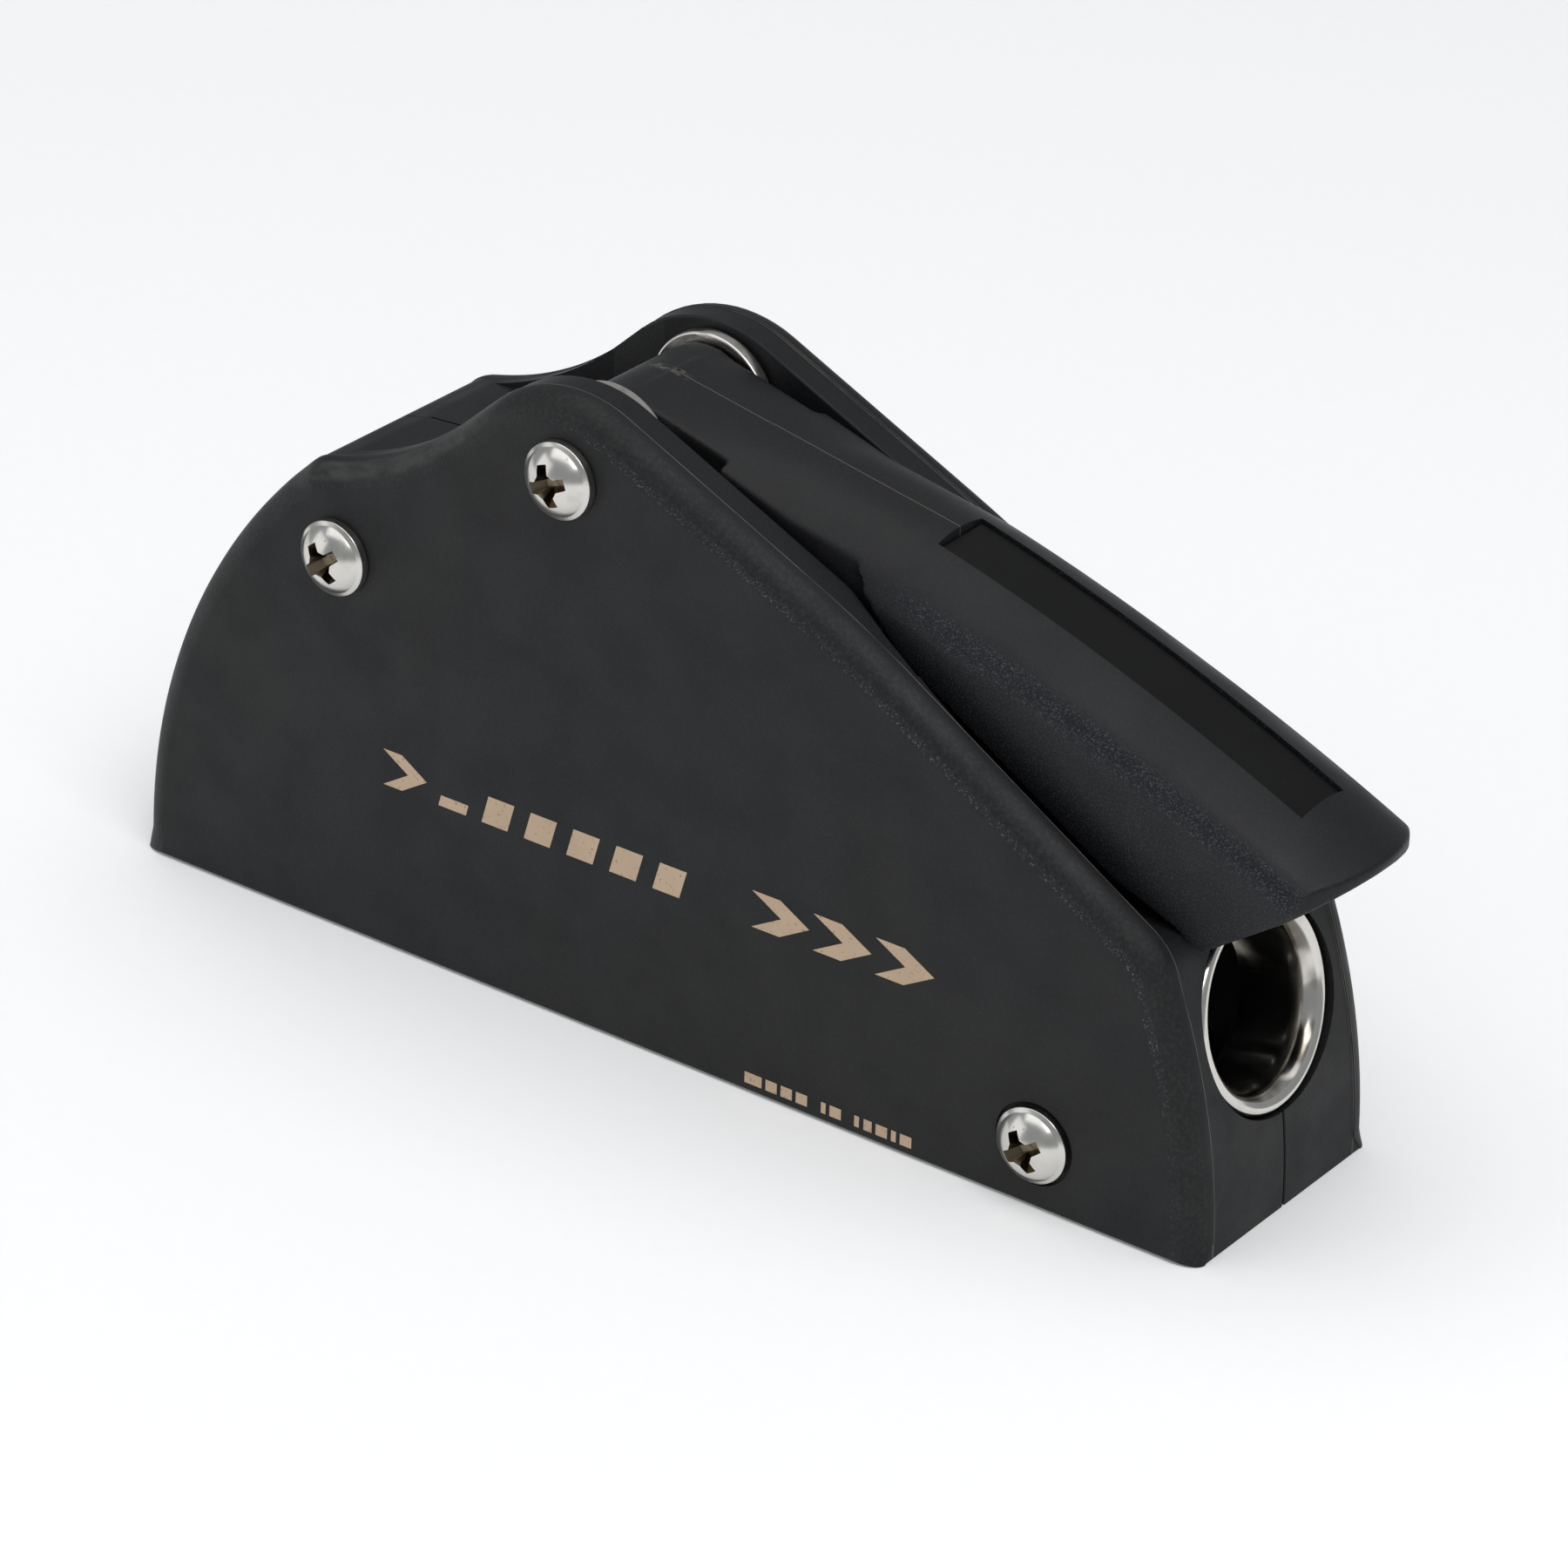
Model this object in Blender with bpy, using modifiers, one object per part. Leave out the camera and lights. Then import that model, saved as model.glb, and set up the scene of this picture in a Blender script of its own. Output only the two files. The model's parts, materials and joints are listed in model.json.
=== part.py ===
"""Lever-operated rope clutch: a toothed cam in a two-piece shell, lifted by a hinged handle.

Frame: the flat base is z = 0, +X points to the tail end under the handle tip, and the seam
between the two half shells is the plane y = 0. Outlines are (x, z) points, in metres.
"""

import math

import bmesh
import bpy
from mathutils import Matrix, Vector

MM = 0.001
GAP = 0.3 * MM

# Half shells
HALF_WIDTH = 19.4 * MM
REAR_X = -82.5 * MM
FRONT_X = 82.0 * MM
REAR_ARC_RADIUS = 82.8 * MM
REAR_ARC_CENTRE_Z = 1.2 * MM
REAR_ARC_END = 135
REAR_WALL = 5.0 * MM
FRONT_ARC_RADIUS = 90.0 * MM
FRONT_ARC_START = 21
EDGE_RADIUS = 4.0 * MM
BASE_EDGE_RADIUS = 0.6 * MM
EDGE_STEPS = 3
CAVITY_HALF_WIDTH = 13.2 * MM
POCKET_HALF_WIDTH = 15.4 * MM
HUB_WALL_HALF_WIDTH = 11.6 * MM
WALL_CREST_HALF_WIDTH = HALF_WIDTH - EDGE_RADIUS
FLOOR_TOP = 4.4 * MM
FRONT_WALL_TOP = 39.0 * MM
SADDLE_START = (-52.5 * MM, 64.3 * MM)
SADDLE_END = (-31.0 * MM, 65.6 * MM)
ABOVE = 110 * MM
BEYOND = 25 * MM

# Shafts and cross screws, all along Y
AXLE = (-13.3 * MM, 74.0 * MM)
REAR_SCREW = (-48.6 * MM, 52.8 * MM)
FRONT_SCREW = (58.6 * MM, 8.8 * MM)
SLEEVE_RADIUS = 4.0 * MM
SLEEVE_HALF_LENGTH = 15.3 * MM
THREAD_RADIUS = 2.5 * MM
CLEAR_RADIUS = 2.8 * MM
HEAD_RADIUS = 5.0 * MM
HEAD_HEIGHT = 3.7 * MM
HEAD_RIM = 1.1 * MM
DOME_RADIUS = 5.6 * MM
SPOT_FACE_RADIUS = HEAD_RADIUS + 0.5 * MM
SCREW_REACH = 12.0 * MM
HEAD_CLEARANCE = 0.05 * MM
SPOT_FACE_DEPTH = 0.6 * MM

# Crank and cam
CRANK_RADIUS = 12.0 * MM
CRANK_ANGLE = math.radians(-105)
CAM_PIN = (AXLE[0] + CRANK_RADIUS * math.cos(CRANK_ANGLE), AXLE[1] + CRANK_RADIUS * math.sin(CRANK_ANGLE))
CAM_PIN_RADIUS = 3.0 * MM
CAM_HUB_RADIUS = 6.3 * MM
CAM_HUB_HALF_WIDTH = 5.5 * MM
CAM_SHOE_HALF_WIDTH = 8.5 * MM
CAM_FACE_CENTRE = (CAM_PIN[0] + 8.0 * MM, CAM_PIN[1] - 8.0 * MM)
CAM_FACE_RADIUS = 36.2 * MM
CAM_BUSH_RADIUS = 4.2 * MM
CAM_TEETH = 11
CAM_TOOTH_DEPTH = 1.3 * MM
CAM_GROOVE_DEPTH = 5.0 * MM
CAM_GROOVE_HALF_WIDTH = 6.6 * MM
CRANK_DISC_RADIUS = 9.0 * MM
CRANK_LOBE_RADIUS = 6.4 * MM

# Handle
HUB_RADIUS = 7.9 * MM
HUB_HALF_WIDTH = 9.0 * MM
EAR_RADIUS = 6.2 * MM
CAM_SLOT_HALF_WIDTH = 5.9 * MM
HUB_BUSH_RADIUS = 5.3 * MM
NECK_HALF_WIDTH = 10.7 * MM
GRIP_HALF_WIDTH = 12.5 * MM
NECK_STEP_X = 3.4 * MM
GRIP_STEP_X = 24.4 * MM
TIP_X = 92.5 * MM
TIP_EDGE_Z = 49.5 * MM
TIP_PLAN_RADIUS = 17.0 * MM
SKIRT_START = (28.6 * MM, 65.7 * MM)
SKIRT_KNEES = ((31.5 * MM, 62.2 * MM), (63.0 * MM, 43.2 * MM), (72.0 * MM, 39.8 * MM))
SKIRT_END = (75.6 * MM, 37.6 * MM)
HUB_CROWN_RADIUS = 150.0 * MM
NECK_CROWN_RADIUS = 17.0 * MM
NECK_CROWN_X = 14.0 * MM
GRIP_CROWN_RADIUS = 20.0 * MM
GRIP_CROWN_X = (60.0 * MM, 92.0 * MM)
GRIP_SHOULDER_RADIUS = 6.0 * MM
GRIP_START = (31.3 * MM, 74.1 * MM)
GRIP_SLOPE = -0.26
GRIP_BEND = -2.0
NECK_SLOPE = -0.186
WALL = 3.2 * MM
LABEL_X = (31.4 * MM, 82.9 * MM)
LABEL_HALF_WIDTH = 4.2 * MM
LABEL_TOP = -1.05 * MM
LABEL_BOTTOM = -1.6 * MM
CRANK_PLATE_Y = (9.3 * MM, 11.1 * MM)

# Fairleads: centre (x, z), the lean of the axis and which way it points
FRONT_FAIRLEAD = ((76.1 * MM, 25.5 * MM), math.radians(14.3), 1)
REAR_FAIRLEAD = ((-77.1 * MM, 23.7 * MM), math.radians(16.0), -1)
FAIRLEAD_RADIUS = 13.25 * MM
BEAD_RADIUS = 0.9 * MM
BEAD_HEIGHT = 0.6 * MM
BEAD_END = 120
FLARE_RADIUS = 3.2 * MM
FLARE_END = 168
FLANGE_BACK = -1.3 * MM
FAIRLEAD_BORE = 10.0 * MM
FAIRLEAD_TUBE = 11.1 * MM

# Jaw, inserts and spring
JAW_X = (-32.0 * MM, 20.0 * MM)
JAW_TOP = 17.0 * MM
JAW_HALF_WIDTH = 12.8 * MM
JAW_PITCH = 4.0 * MM
JAW_TOOTH_DEPTH = 1.0 * MM
JAW_GROOVE_HALF_WIDTH = 8.0 * MM
JAW_GROOVE_DEPTH = 6.5 * MM
INSERT_X = {"deck_insert_rear": -58.0 * MM, "deck_insert_front": 41.0 * MM}
INSERT_FLATS = 12.0 * MM
INSERT_FLANGE = 3.0 * MM
INSERT_TOP = 10.0 * MM
INSERT_BOSS_RADIUS = 4.6 * MM
INSERT_BORE = 2.6 * MM
SPRING_WIRE = 0.8 * MM
SPRING_COIL_RADIUS = 5.3 * MM
SPRING_PITCH = 1.95 * MM
SPRING_TURNS = 4
WALL_LEG = 23.5 * MM
CAM_LEG = 22.6 * MM

PARTS = bpy.data.collections.new("rope_clutch")
CUTTERS = bpy.data.collections.new("cutters")


# ------------------------------------------------------------------ tools

def clear_scene():
    for old in list(bpy.data.objects):
        bpy.data.objects.remove(old, do_unlink=True)
    bpy.context.scene.collection.children.link(PARTS)
    bpy.context.scene.collection.children.link(CUTTERS)


def polar(centre, radius, angle):
    return (centre[0] + radius * math.cos(angle), centre[1] + radius * math.sin(angle))


def arc(centre, radius, start, end, steps):
    """Points of an arc, angles in degrees, both ends included."""
    span = math.radians(end - start)
    return [polar(centre, radius, math.radians(start) + span * i / steps) for i in range(steps + 1)]


def circle(centre, radius, steps=32):
    return arc(centre, radius, 0, 360, steps)[:-1]


def rounded(corners, steps=4):
    """Outline through corners (x, z, radius), each with radius > 0 turned into an arc."""
    points = []
    count = len(corners)
    for i, (x, z, radius) in enumerate(corners):
        here = Vector((x, z))
        if radius <= 0:
            points.append((x, z))
            continue
        back = (Vector(corners[i - 1][:2]) - here).normalized()
        ahead = (Vector(corners[(i + 1) % count][:2]) - here).normalized()
        half = back.angle(ahead) / 2
        start = here + back * (radius / math.tan(half))
        end = here + ahead * (radius / math.tan(half))
        centre = here + (back + ahead).normalized() * (radius / math.sin(half))
        first = start - centre
        turn = first.angle_signed(end - centre)
        for k in range(steps + 1):
            point = centre + Matrix.Rotation(-turn * k / steps, 2) @ first
            points.append((point.x, point.y))
    return points


def hull_of_circles(a, radius_a, b, radius_b, steps=12):
    """Outline of two circles joined by their outer tangents."""
    along = math.atan2(b[1] - a[1], b[0] - a[0])
    lean = math.acos((radius_a - radius_b) / math.dist(a, b))
    start_a, end_a = math.degrees(along + lean), math.degrees(along - lean) + 360
    start_b, end_b = math.degrees(along - lean), math.degrees(along + lean)
    return arc(a, radius_a, start_a, end_a, steps) + arc(b, radius_b, start_b, end_b, steps)


def settle(mesh):
    """Weld a mesh closed and turn its faces outwards."""
    shape = bmesh.new()
    shape.from_mesh(mesh)
    bmesh.ops.remove_doubles(shape, verts=shape.verts, dist=0.002 * MM)
    bmesh.ops.recalc_face_normals(shape, faces=shape.faces)
    shape.to_mesh(mesh)
    shape.free()
    return mesh


def solid_from(source, name, home):
    """A new mesh object, in world coordinates, from an evaluated curve or modified mesh."""
    bpy.context.view_layer.update()
    graph = bpy.context.evaluated_depsgraph_get()
    mesh = bpy.data.meshes.new_from_object(source.evaluated_get(graph))
    mesh.name = name
    mesh.transform(source.matrix_world)
    bpy.data.objects.remove(source, do_unlink=True)
    return place(name, settle(mesh), home)


def place(name, mesh, home):
    thing = bpy.data.objects.new(name, mesh)
    home.objects.link(thing)
    if home is CUTTERS:
        thing.hide_render = True
        thing.display_type = 'WIRE'
    return thing


def plate(name, outline, y_low, y_high, home=PARTS):
    """An (x, z) outline filled and extruded from y_low to y_high."""
    curve = bpy.data.curves.new(name + "_outline", 'CURVE')
    curve.dimensions = '2D'
    curve.fill_mode = 'BOTH'
    curve.extrude = (y_high - y_low) / 2
    spline = curve.splines.new('POLY')
    spline.points.add(len(outline) - 1)
    spline.use_cyclic_u = True
    for point, (x, z) in zip(spline.points, outline):
        point.co = (x, z, 0, 1)
    flat = bpy.data.objects.new(name + "_outline", curve)
    PARTS.objects.link(flat)
    upright = Matrix.Rotation(math.pi / 2, 4, 'X')
    flat.matrix_world = Matrix.Translation((0, (y_low + y_high) / 2, 0)) @ upright
    return solid_from(flat, name, home)


def turned(name, profile, frame, steps=32, closed=False, home=PARTS):
    """A (radius, height) profile turned about the local Z axis of frame."""
    mesh = bpy.data.meshes.new(name + "_profile")
    shape = bmesh.new()
    verts = [shape.verts.new((r, 0, h)) for r, h in profile]
    for first, second in zip(verts, verts[1:]):
        shape.edges.new((first, second))
    if closed:
        shape.edges.new((verts[-1], verts[0]))
    shape.to_mesh(mesh)
    shape.free()
    blank = bpy.data.objects.new(name + "_profile", mesh)
    PARTS.objects.link(blank)
    screw = blank.modifiers.new("turn", 'SCREW')
    screw.steps = steps
    screw.render_steps = steps
    screw.use_merge_vertices = True
    screw.merge_threshold = 0.002 * MM
    blank.matrix_world = frame
    return solid_from(blank, name, home)


def along_y(x, z, y=0.0, side=1):
    """Frame whose local Z axis is +Y (side 1) or -Y (side -1)."""
    return Matrix.Translation((x, y, z)) @ Matrix.Rotation(-side * math.pi / 2, 4, 'X')


def tube(name, at, radius, bore, y_low, y_high, steps=32, home=PARTS):
    profile = [(radius, y_high), (radius, y_low), (bore, y_low), (bore, y_high)]
    return turned(name, profile, along_y(*at), steps, closed=True, home=home)


def rod(name, at, radius, y_low, y_high, steps=32, home=PARTS):
    profile = [(0, y_high), (radius, y_high), (radius, y_low), (0, y_low)]
    return turned(name, profile, along_y(*at), steps, home=home)


def combine(target, tool, operation='DIFFERENCE'):
    step = target.modifiers.new(operation.lower(), 'BOOLEAN')
    step.operation = operation
    step.solver = 'EXACT'
    step.object = tool
    return target


def cutter_rod(name, at, radius, steps=32):
    return rod(name, at, radius, -BEYOND, BEYOND, steps, CUTTERS)


def coat(thing, name, colour, roughness, metallic=0.0, sharp=30):
    """Give a part its own material and smooth its round faces."""
    finish = bpy.data.materials.new(name)
    finish.use_nodes = True
    shader = finish.node_tree.nodes["Principled BSDF"]
    shader.inputs["Base Color"].default_value = (*colour, 1)
    shader.inputs["Roughness"].default_value = roughness
    shader.inputs["Metallic"].default_value = metallic
    finish.diffuse_color = (*colour, 1)
    thing.data.materials.clear()
    thing.data.materials.append(finish)
    thing.data.shade_smooth()
    thing.data.set_sharp_from_angle(angle=math.radians(sharp))
    return thing


def composite(thing):
    return coat(thing, thing.name + "_composite", (0.018, 0.019, 0.021), 0.55)


def stainless(thing, roughness=0.22):
    return coat(thing, thing.name + "_stainless", (0.62, 0.60, 0.57), roughness, 1.0)


def hinge(name, at):
    pivot = bpy.data.objects.new(name, None)
    pivot.location = (at[0], 0, at[1])
    PARTS.objects.link(pivot)
    return pivot


def hang(part, pivot):
    """Parent a part to its hinge without moving it."""
    bpy.context.view_layer.update()
    part.parent = pivot
    part.matrix_parent_inverse = pivot.matrix_world.inverted()


# ------------------------------------------------------------------ shell

def body_outline():
    """Side outline: arched rear, saddle, hub crest, long slope and curved nose."""
    rear_centre = (REAR_X + REAR_ARC_RADIUS, REAR_ARC_CENTRE_Z)
    front_centre = (FRONT_X - FRONT_ARC_RADIUS, 0.0)
    rear = arc(rear_centre, REAR_ARC_RADIUS, 180, REAR_ARC_END, 12)
    front = arc(front_centre, FRONT_ARC_RADIUS, FRONT_ARC_START, 0, 5)
    corners = [(REAR_X, 0, 0)] + [(x, z, 0) for x, z in rear[1:]]
    corners += [(-54.3 * MM, 63.5 * MM, 5 * MM), (-39.7 * MM, 67.2 * MM, 49 * MM)]
    corners += [(-17.3 * MM, 87.3 * MM, 18 * MM), (28.8 * MM, 66.1 * MM, 150 * MM)]
    corners += [(73.7 * MM, 38.9 * MM, 9 * MM)] + [(x, z, 0) for x, z in front]
    return rounded(corners, 5)


def cavity_outline():
    """Space for the cam and the rope, below the top of the front wall."""
    rear_centre = (REAR_X + REAR_ARC_RADIUS, REAR_ARC_CENTRE_Z)
    rear = arc(rear_centre, REAR_ARC_RADIUS - REAR_WALL, 177, REAR_ARC_END + 2, 8)
    roof_underside = [(-50 * MM, 60.5 * MM), (-31 * MM, 61.8 * MM)]
    nose = [(-31 * MM, FRONT_WALL_TOP), (63 * MM, FRONT_WALL_TOP), (70 * MM, FLOOR_TOP)]
    return [(rear[0][0], FLOOR_TOP)] + rear[1:] + roof_underside + nose


def opening_plan():
    """The opening in the top, seen from above: narrow at the hub, and wide under the grip."""
    wide = WALL_CREST_HALF_WIDTH - 0.05 * MM
    half = [(-31 * MM, CAVITY_HALF_WIDTH - 0.1 * MM), (-22 * MM, HUB_WALL_HALF_WIDTH),
            (24 * MM, HUB_WALL_HALF_WIDTH), (31 * MM, 13.6 * MM), (38.5 * MM, 14.8 * MM), (45 * MM, wide),
            (90 * MM, wide)]
    return half + [(x, -y) for x, y in reversed(half)]


def shell_cutters():
    """Everything that is hollowed out of both half shells."""
    saddle = [SADDLE_START, SADDLE_END, (SADDLE_END[0], ABOVE), (SADDLE_START[0], ABOVE)]
    pocket = [(-66, 8), (-64, 30), (-56, 42), (38, 42), (60, 26), (60, 18), (50, 16), (50, 8)]
    pocket = [(x * MM, z * MM) for x, z in pocket]
    tools = [
        plate("cavity", cavity_outline(), -CAVITY_HALF_WIDTH, CAVITY_HALF_WIDTH, CUTTERS),
        plan_prism("top_opening", opening_plan(), FRONT_WALL_TOP, ABOVE),
        plate("saddle_recess", saddle, -CAVITY_HALF_WIDTH, CAVITY_HALF_WIDTH, CUTTERS),
        plate("wall_pocket", pocket, -POCKET_HALF_WIDTH, POCKET_HALF_WIDTH, CUTTERS),
    ]
    for label, at in (("axle", AXLE), ("rear", REAR_SCREW), ("front", FRONT_SCREW)):
        spot_face = HALF_WIDTH - SPOT_FACE_DEPTH if at is FRONT_SCREW else None
        tools.append(screw_passage(label + "_screw_hole", at, spot_face))
    for label, lead in (("front", FRONT_FAIRLEAD), ("rear", REAR_FAIRLEAD)):
        tools.append(fairlead_seat(label, lead))
    for label, x in INSERT_X.items():
        tools.append(insert_pocket(label, x))
    return tools


def screw_passage(name, at, spot_face):
    """Screw holes in both walls, the wider seat of the sleeve between them, and any spot faces."""
    seat = SLEEVE_HALF_LENGTH + GAP
    wide = SLEEVE_RADIUS + GAP
    half = [(0, BEYOND), (CLEAR_RADIUS, BEYOND)]
    if spot_face:
        half = [(0, BEYOND), (SPOT_FACE_RADIUS, BEYOND), (SPOT_FACE_RADIUS, spot_face),
                (CLEAR_RADIUS, spot_face)]
    half += [(CLEAR_RADIUS, seat), (wide, seat)]
    profile = half + [(radius, -y) for radius, y in reversed(half)]
    return turned(name, profile, along_y(*at), 32, home=CUTTERS)


def lead_frame(lead):
    """Frame at a fairlead's centre with local Z along its bore, pointing out of the body."""
    (x, z), lean, facing = lead
    outward = Vector((facing * math.cos(lean), 0, math.sin(lean)))
    return Matrix.Translation((x, 0, z)) @ outward.to_track_quat('Z', 'Y').to_matrix().to_4x4()


def fairlead_seat(label, lead):
    flange, hole = FAIRLEAD_RADIUS + GAP, FAIRLEAD_TUBE + GAP
    seat = FLANGE_BACK - GAP
    outside, deep = 12 * MM, -30 * MM
    profile = [(0, outside), (flange, outside), (flange, seat), (hole, seat), (hole, deep), (0, deep)]
    return turned(label + "_fairlead_seat", profile, lead_frame(lead), 48, home=CUTTERS)


def insert_pocket(label, x):
    """Hexagonal pocket in the floor with a round hole above it."""
    hexagon = (INSERT_FLATS / 2 + GAP) / math.cos(math.pi / 6)
    top, below = INSERT_FLANGE + GAP, -5 * MM
    flange = turned(label + "_flange_pocket", [(0, top), (hexagon, top), (hexagon, below), (0, below)],
                    Matrix.Translation((x, 0, 0)), 6, home=CUTTERS)
    hole = INSERT_BOSS_RADIUS + GAP
    neck = turned(label + "_neck_pocket", [(0, BEYOND), (hole, BEYOND), (hole, -1 * MM), (0, -1 * MM)],
                  Matrix.Translation((x, 0, 0)), 24, home=CUTTERS)
    return combine(flange, neck, 'UNION')


def edge_radius(start, end):
    """Rounding radius of the outer edge along one side of the outline."""
    return EDGE_RADIUS if max(start[1], end[1]) > 0.1 * MM else BASE_EDGE_RADIUS


def moved_in(outline, share):
    """Each point of a clockwise outline moved inwards by a share of its sides' edge radii."""
    count = len(outline)
    inner = []
    for i, here in enumerate(outline):
        back, ahead = outline[i - 1], outline[(i + 1) % count]
        first = (Vector(here) - Vector(back)).normalized()
        second = (Vector(ahead) - Vector(here)).normalized()
        step_1 = edge_radius(back, here) * share
        step_2 = edge_radius(here, ahead) * share
        turn = first.x * second.y - first.y * second.x
        if abs(turn) > 0.5:
            shift = (first * step_2 - second * step_1) / turn
        else:
            normal = Vector((first.y + second.y, -first.x - second.x)).normalized()
            shift = normal * (step_1 + step_2) / 2
        inner.append(Vector(here) + shift)
    return inner


def half_shell(name, side, tools):
    """One moulding from the seam to the outer wall, with its outer edge rounded."""
    outline = body_outline()
    count = len(outline)
    radii = [(edge_radius(outline[i - 1], outline[i]) + edge_radius(outline[i], outline[(i + 1) % count])) / 2
             for i in range(count)]
    stations = [[(x, side * GAP / 2, z) for x, z in outline]]
    for k in range(EDGE_STEPS + 1):
        angle = math.pi / 2 * k / EDGE_STEPS
        ring = moved_in(outline, 1 - math.cos(angle))
        stations.append([(p.x, side * (HALF_WIDTH - radius * (1 - math.sin(angle))), p.y)
                         for p, radius in zip(ring, radii)])
    shell = loft(name, stations, PARTS)
    for tool in tools:
        combine(shell, tool)
    return composite(shell)


# ------------------------------------------------------------------ fixed metal pieces

def fairlead(name, lead):
    """Polished ring: flange, trumpet lip and the tube that lines the hole."""
    bore_start, tube_end = -2.2 * MM, -9.0 * MM
    profile = [(FAIRLEAD_RADIUS, FLANGE_BACK)] + trumpet_lip(5, 5)
    profile += [(FAIRLEAD_BORE, bore_start), (FAIRLEAD_BORE, tube_end), (FAIRLEAD_TUBE, tube_end),
                (FAIRLEAD_TUBE, FLANGE_BACK)]
    return stainless(turned(name, profile, lead_frame(lead), 36, closed=True), 0.12)


def trumpet_lip(bead_steps, flare_steps):
    """Profile over the ring's outer bead and on down its flare, in one smooth line."""
    bead = (FAIRLEAD_RADIUS - BEAD_RADIUS, BEAD_HEIGHT)
    flare = polar(bead, BEAD_RADIUS - FLARE_RADIUS, math.radians(BEAD_END))
    return (arc(bead, BEAD_RADIUS, 0, BEAD_END, bead_steps)
            + arc(flare, FLARE_RADIUS, BEAD_END, FLARE_END, flare_steps)[1:])


def pan_head_screw(name, at, side, turn):
    """M5 cross-recessed pan head screw seen from outside, with its shank pointing inwards."""
    seat = HALF_WIDTH + HEAD_CLEARANCE
    if at is FRONT_SCREW:
        seat = HALF_WIDTH - SPOT_FACE_DEPTH + HEAD_CLEARANCE
    dome = arc((0, HEAD_HEIGHT - DOME_RADIUS), DOME_RADIUS, 36, 84, 4)
    profile = [(0, HEAD_HEIGHT)] + dome[::-1] + [(HEAD_RADIUS, HEAD_RIM), (HEAD_RADIUS, 0)]
    profile += [(THREAD_RADIUS, 0), (THREAD_RADIUS, -SCREW_REACH), (0, -SCREW_REACH)]
    screw = turned(name, profile, along_y(*at, y=side * seat, side=side), 24)
    for k in range(2):
        slot = cross_slot(name + "_slot_%d" % k)
        spin = Matrix.Rotation(math.radians(turn + 90 * k), 4, 'Z')
        slot.matrix_world = along_y(*at, y=side * (seat + HEAD_HEIGHT), side=side) @ spin
        combine(screw, slot)
    return stainless(screw, 0.16)


def cross_slot(name):
    """One tapered arm pair of the cross recess, opening at z = 0."""
    mesh = bpy.data.meshes.new(name)
    shape = bmesh.new()
    bmesh.ops.create_cube(shape, size=1)
    for vert in shape.verts:
        deep = vert.co.z < 0
        vert.co.x *= (2.2 if deep else 6.0) * MM
        vert.co.y *= (0.8 if deep else 1.3) * MM
        vert.co.z = (-2.3 if deep else 0.6) * MM
    shape.to_mesh(mesh)
    shape.free()
    return place(name, mesh, CUTTERS)


def threaded_sleeve(name, at):
    sleeve = tube(name, at, SLEEVE_RADIUS, CLEAR_RADIUS, -SLEEVE_HALF_LENGTH, SLEEVE_HALF_LENGTH)
    return stainless(sleeve, 0.35)


def jaw_plate():
    """Fixed lower jaw: a block with a V groove and cross serrations."""
    outline = [(JAW_X[0], FLOOR_TOP + GAP), (JAW_X[1], FLOOR_TOP + GAP)]
    teeth = int(round((JAW_X[1] - JAW_X[0]) / JAW_PITCH))
    for k in range(teeth):
        x = JAW_X[1] - k * JAW_PITCH
        outline += [(x, JAW_TOP), (x - 0.25 * JAW_PITCH, JAW_TOP - JAW_TOOTH_DEPTH)]
    outline.append((JAW_X[0], JAW_TOP))
    jaw = plate("jaw_plate", outline, -JAW_HALF_WIDTH, JAW_HALF_WIDTH)
    combine(jaw, v_groove_cutter())
    return stainless(jaw, 0.4)


def v_groove_cutter():
    """Three-sided bar lying point down along X."""
    section = [(-JAW_GROOVE_HALF_WIDTH, JAW_TOP + GAP), (JAW_GROOVE_HALF_WIDTH, JAW_TOP + GAP),
               (0, JAW_TOP - JAW_GROOVE_DEPTH)]
    ends = (JAW_X[0] - 2 * MM, JAW_X[1] + 2 * MM)
    return loft("jaw_groove", [[(x, y, z) for y, z in section] for x in ends], CUTTERS)


def deck_insert(name, x):
    """Threaded insert for a deck bolt: hexagonal flange at the base and a round barrel."""
    wide = 7.5 * MM
    frame = Matrix.Translation((x, 0, 0))
    profile = [(INSERT_BOSS_RADIUS, INSERT_TOP), (INSERT_BOSS_RADIUS, INSERT_FLANGE), (wide, INSERT_FLANGE),
               (wide, 0), (INSERT_BORE, 0), (INSERT_BORE, INSERT_TOP)]
    insert = turned(name, profile, frame @ Matrix.Rotation(math.radians(5), 4, 'Z'), 20, closed=True)
    corner = INSERT_FLATS / 2 / math.cos(math.pi / 6)
    column = [(0, BEYOND), (corner, BEYOND), (corner, -BEYOND), (0, -BEYOND)]
    combine(insert, turned(name + "_hexagon", column, frame, 6, home=CUTTERS), 'INTERSECT')
    return stainless(insert, 0.4)


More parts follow.
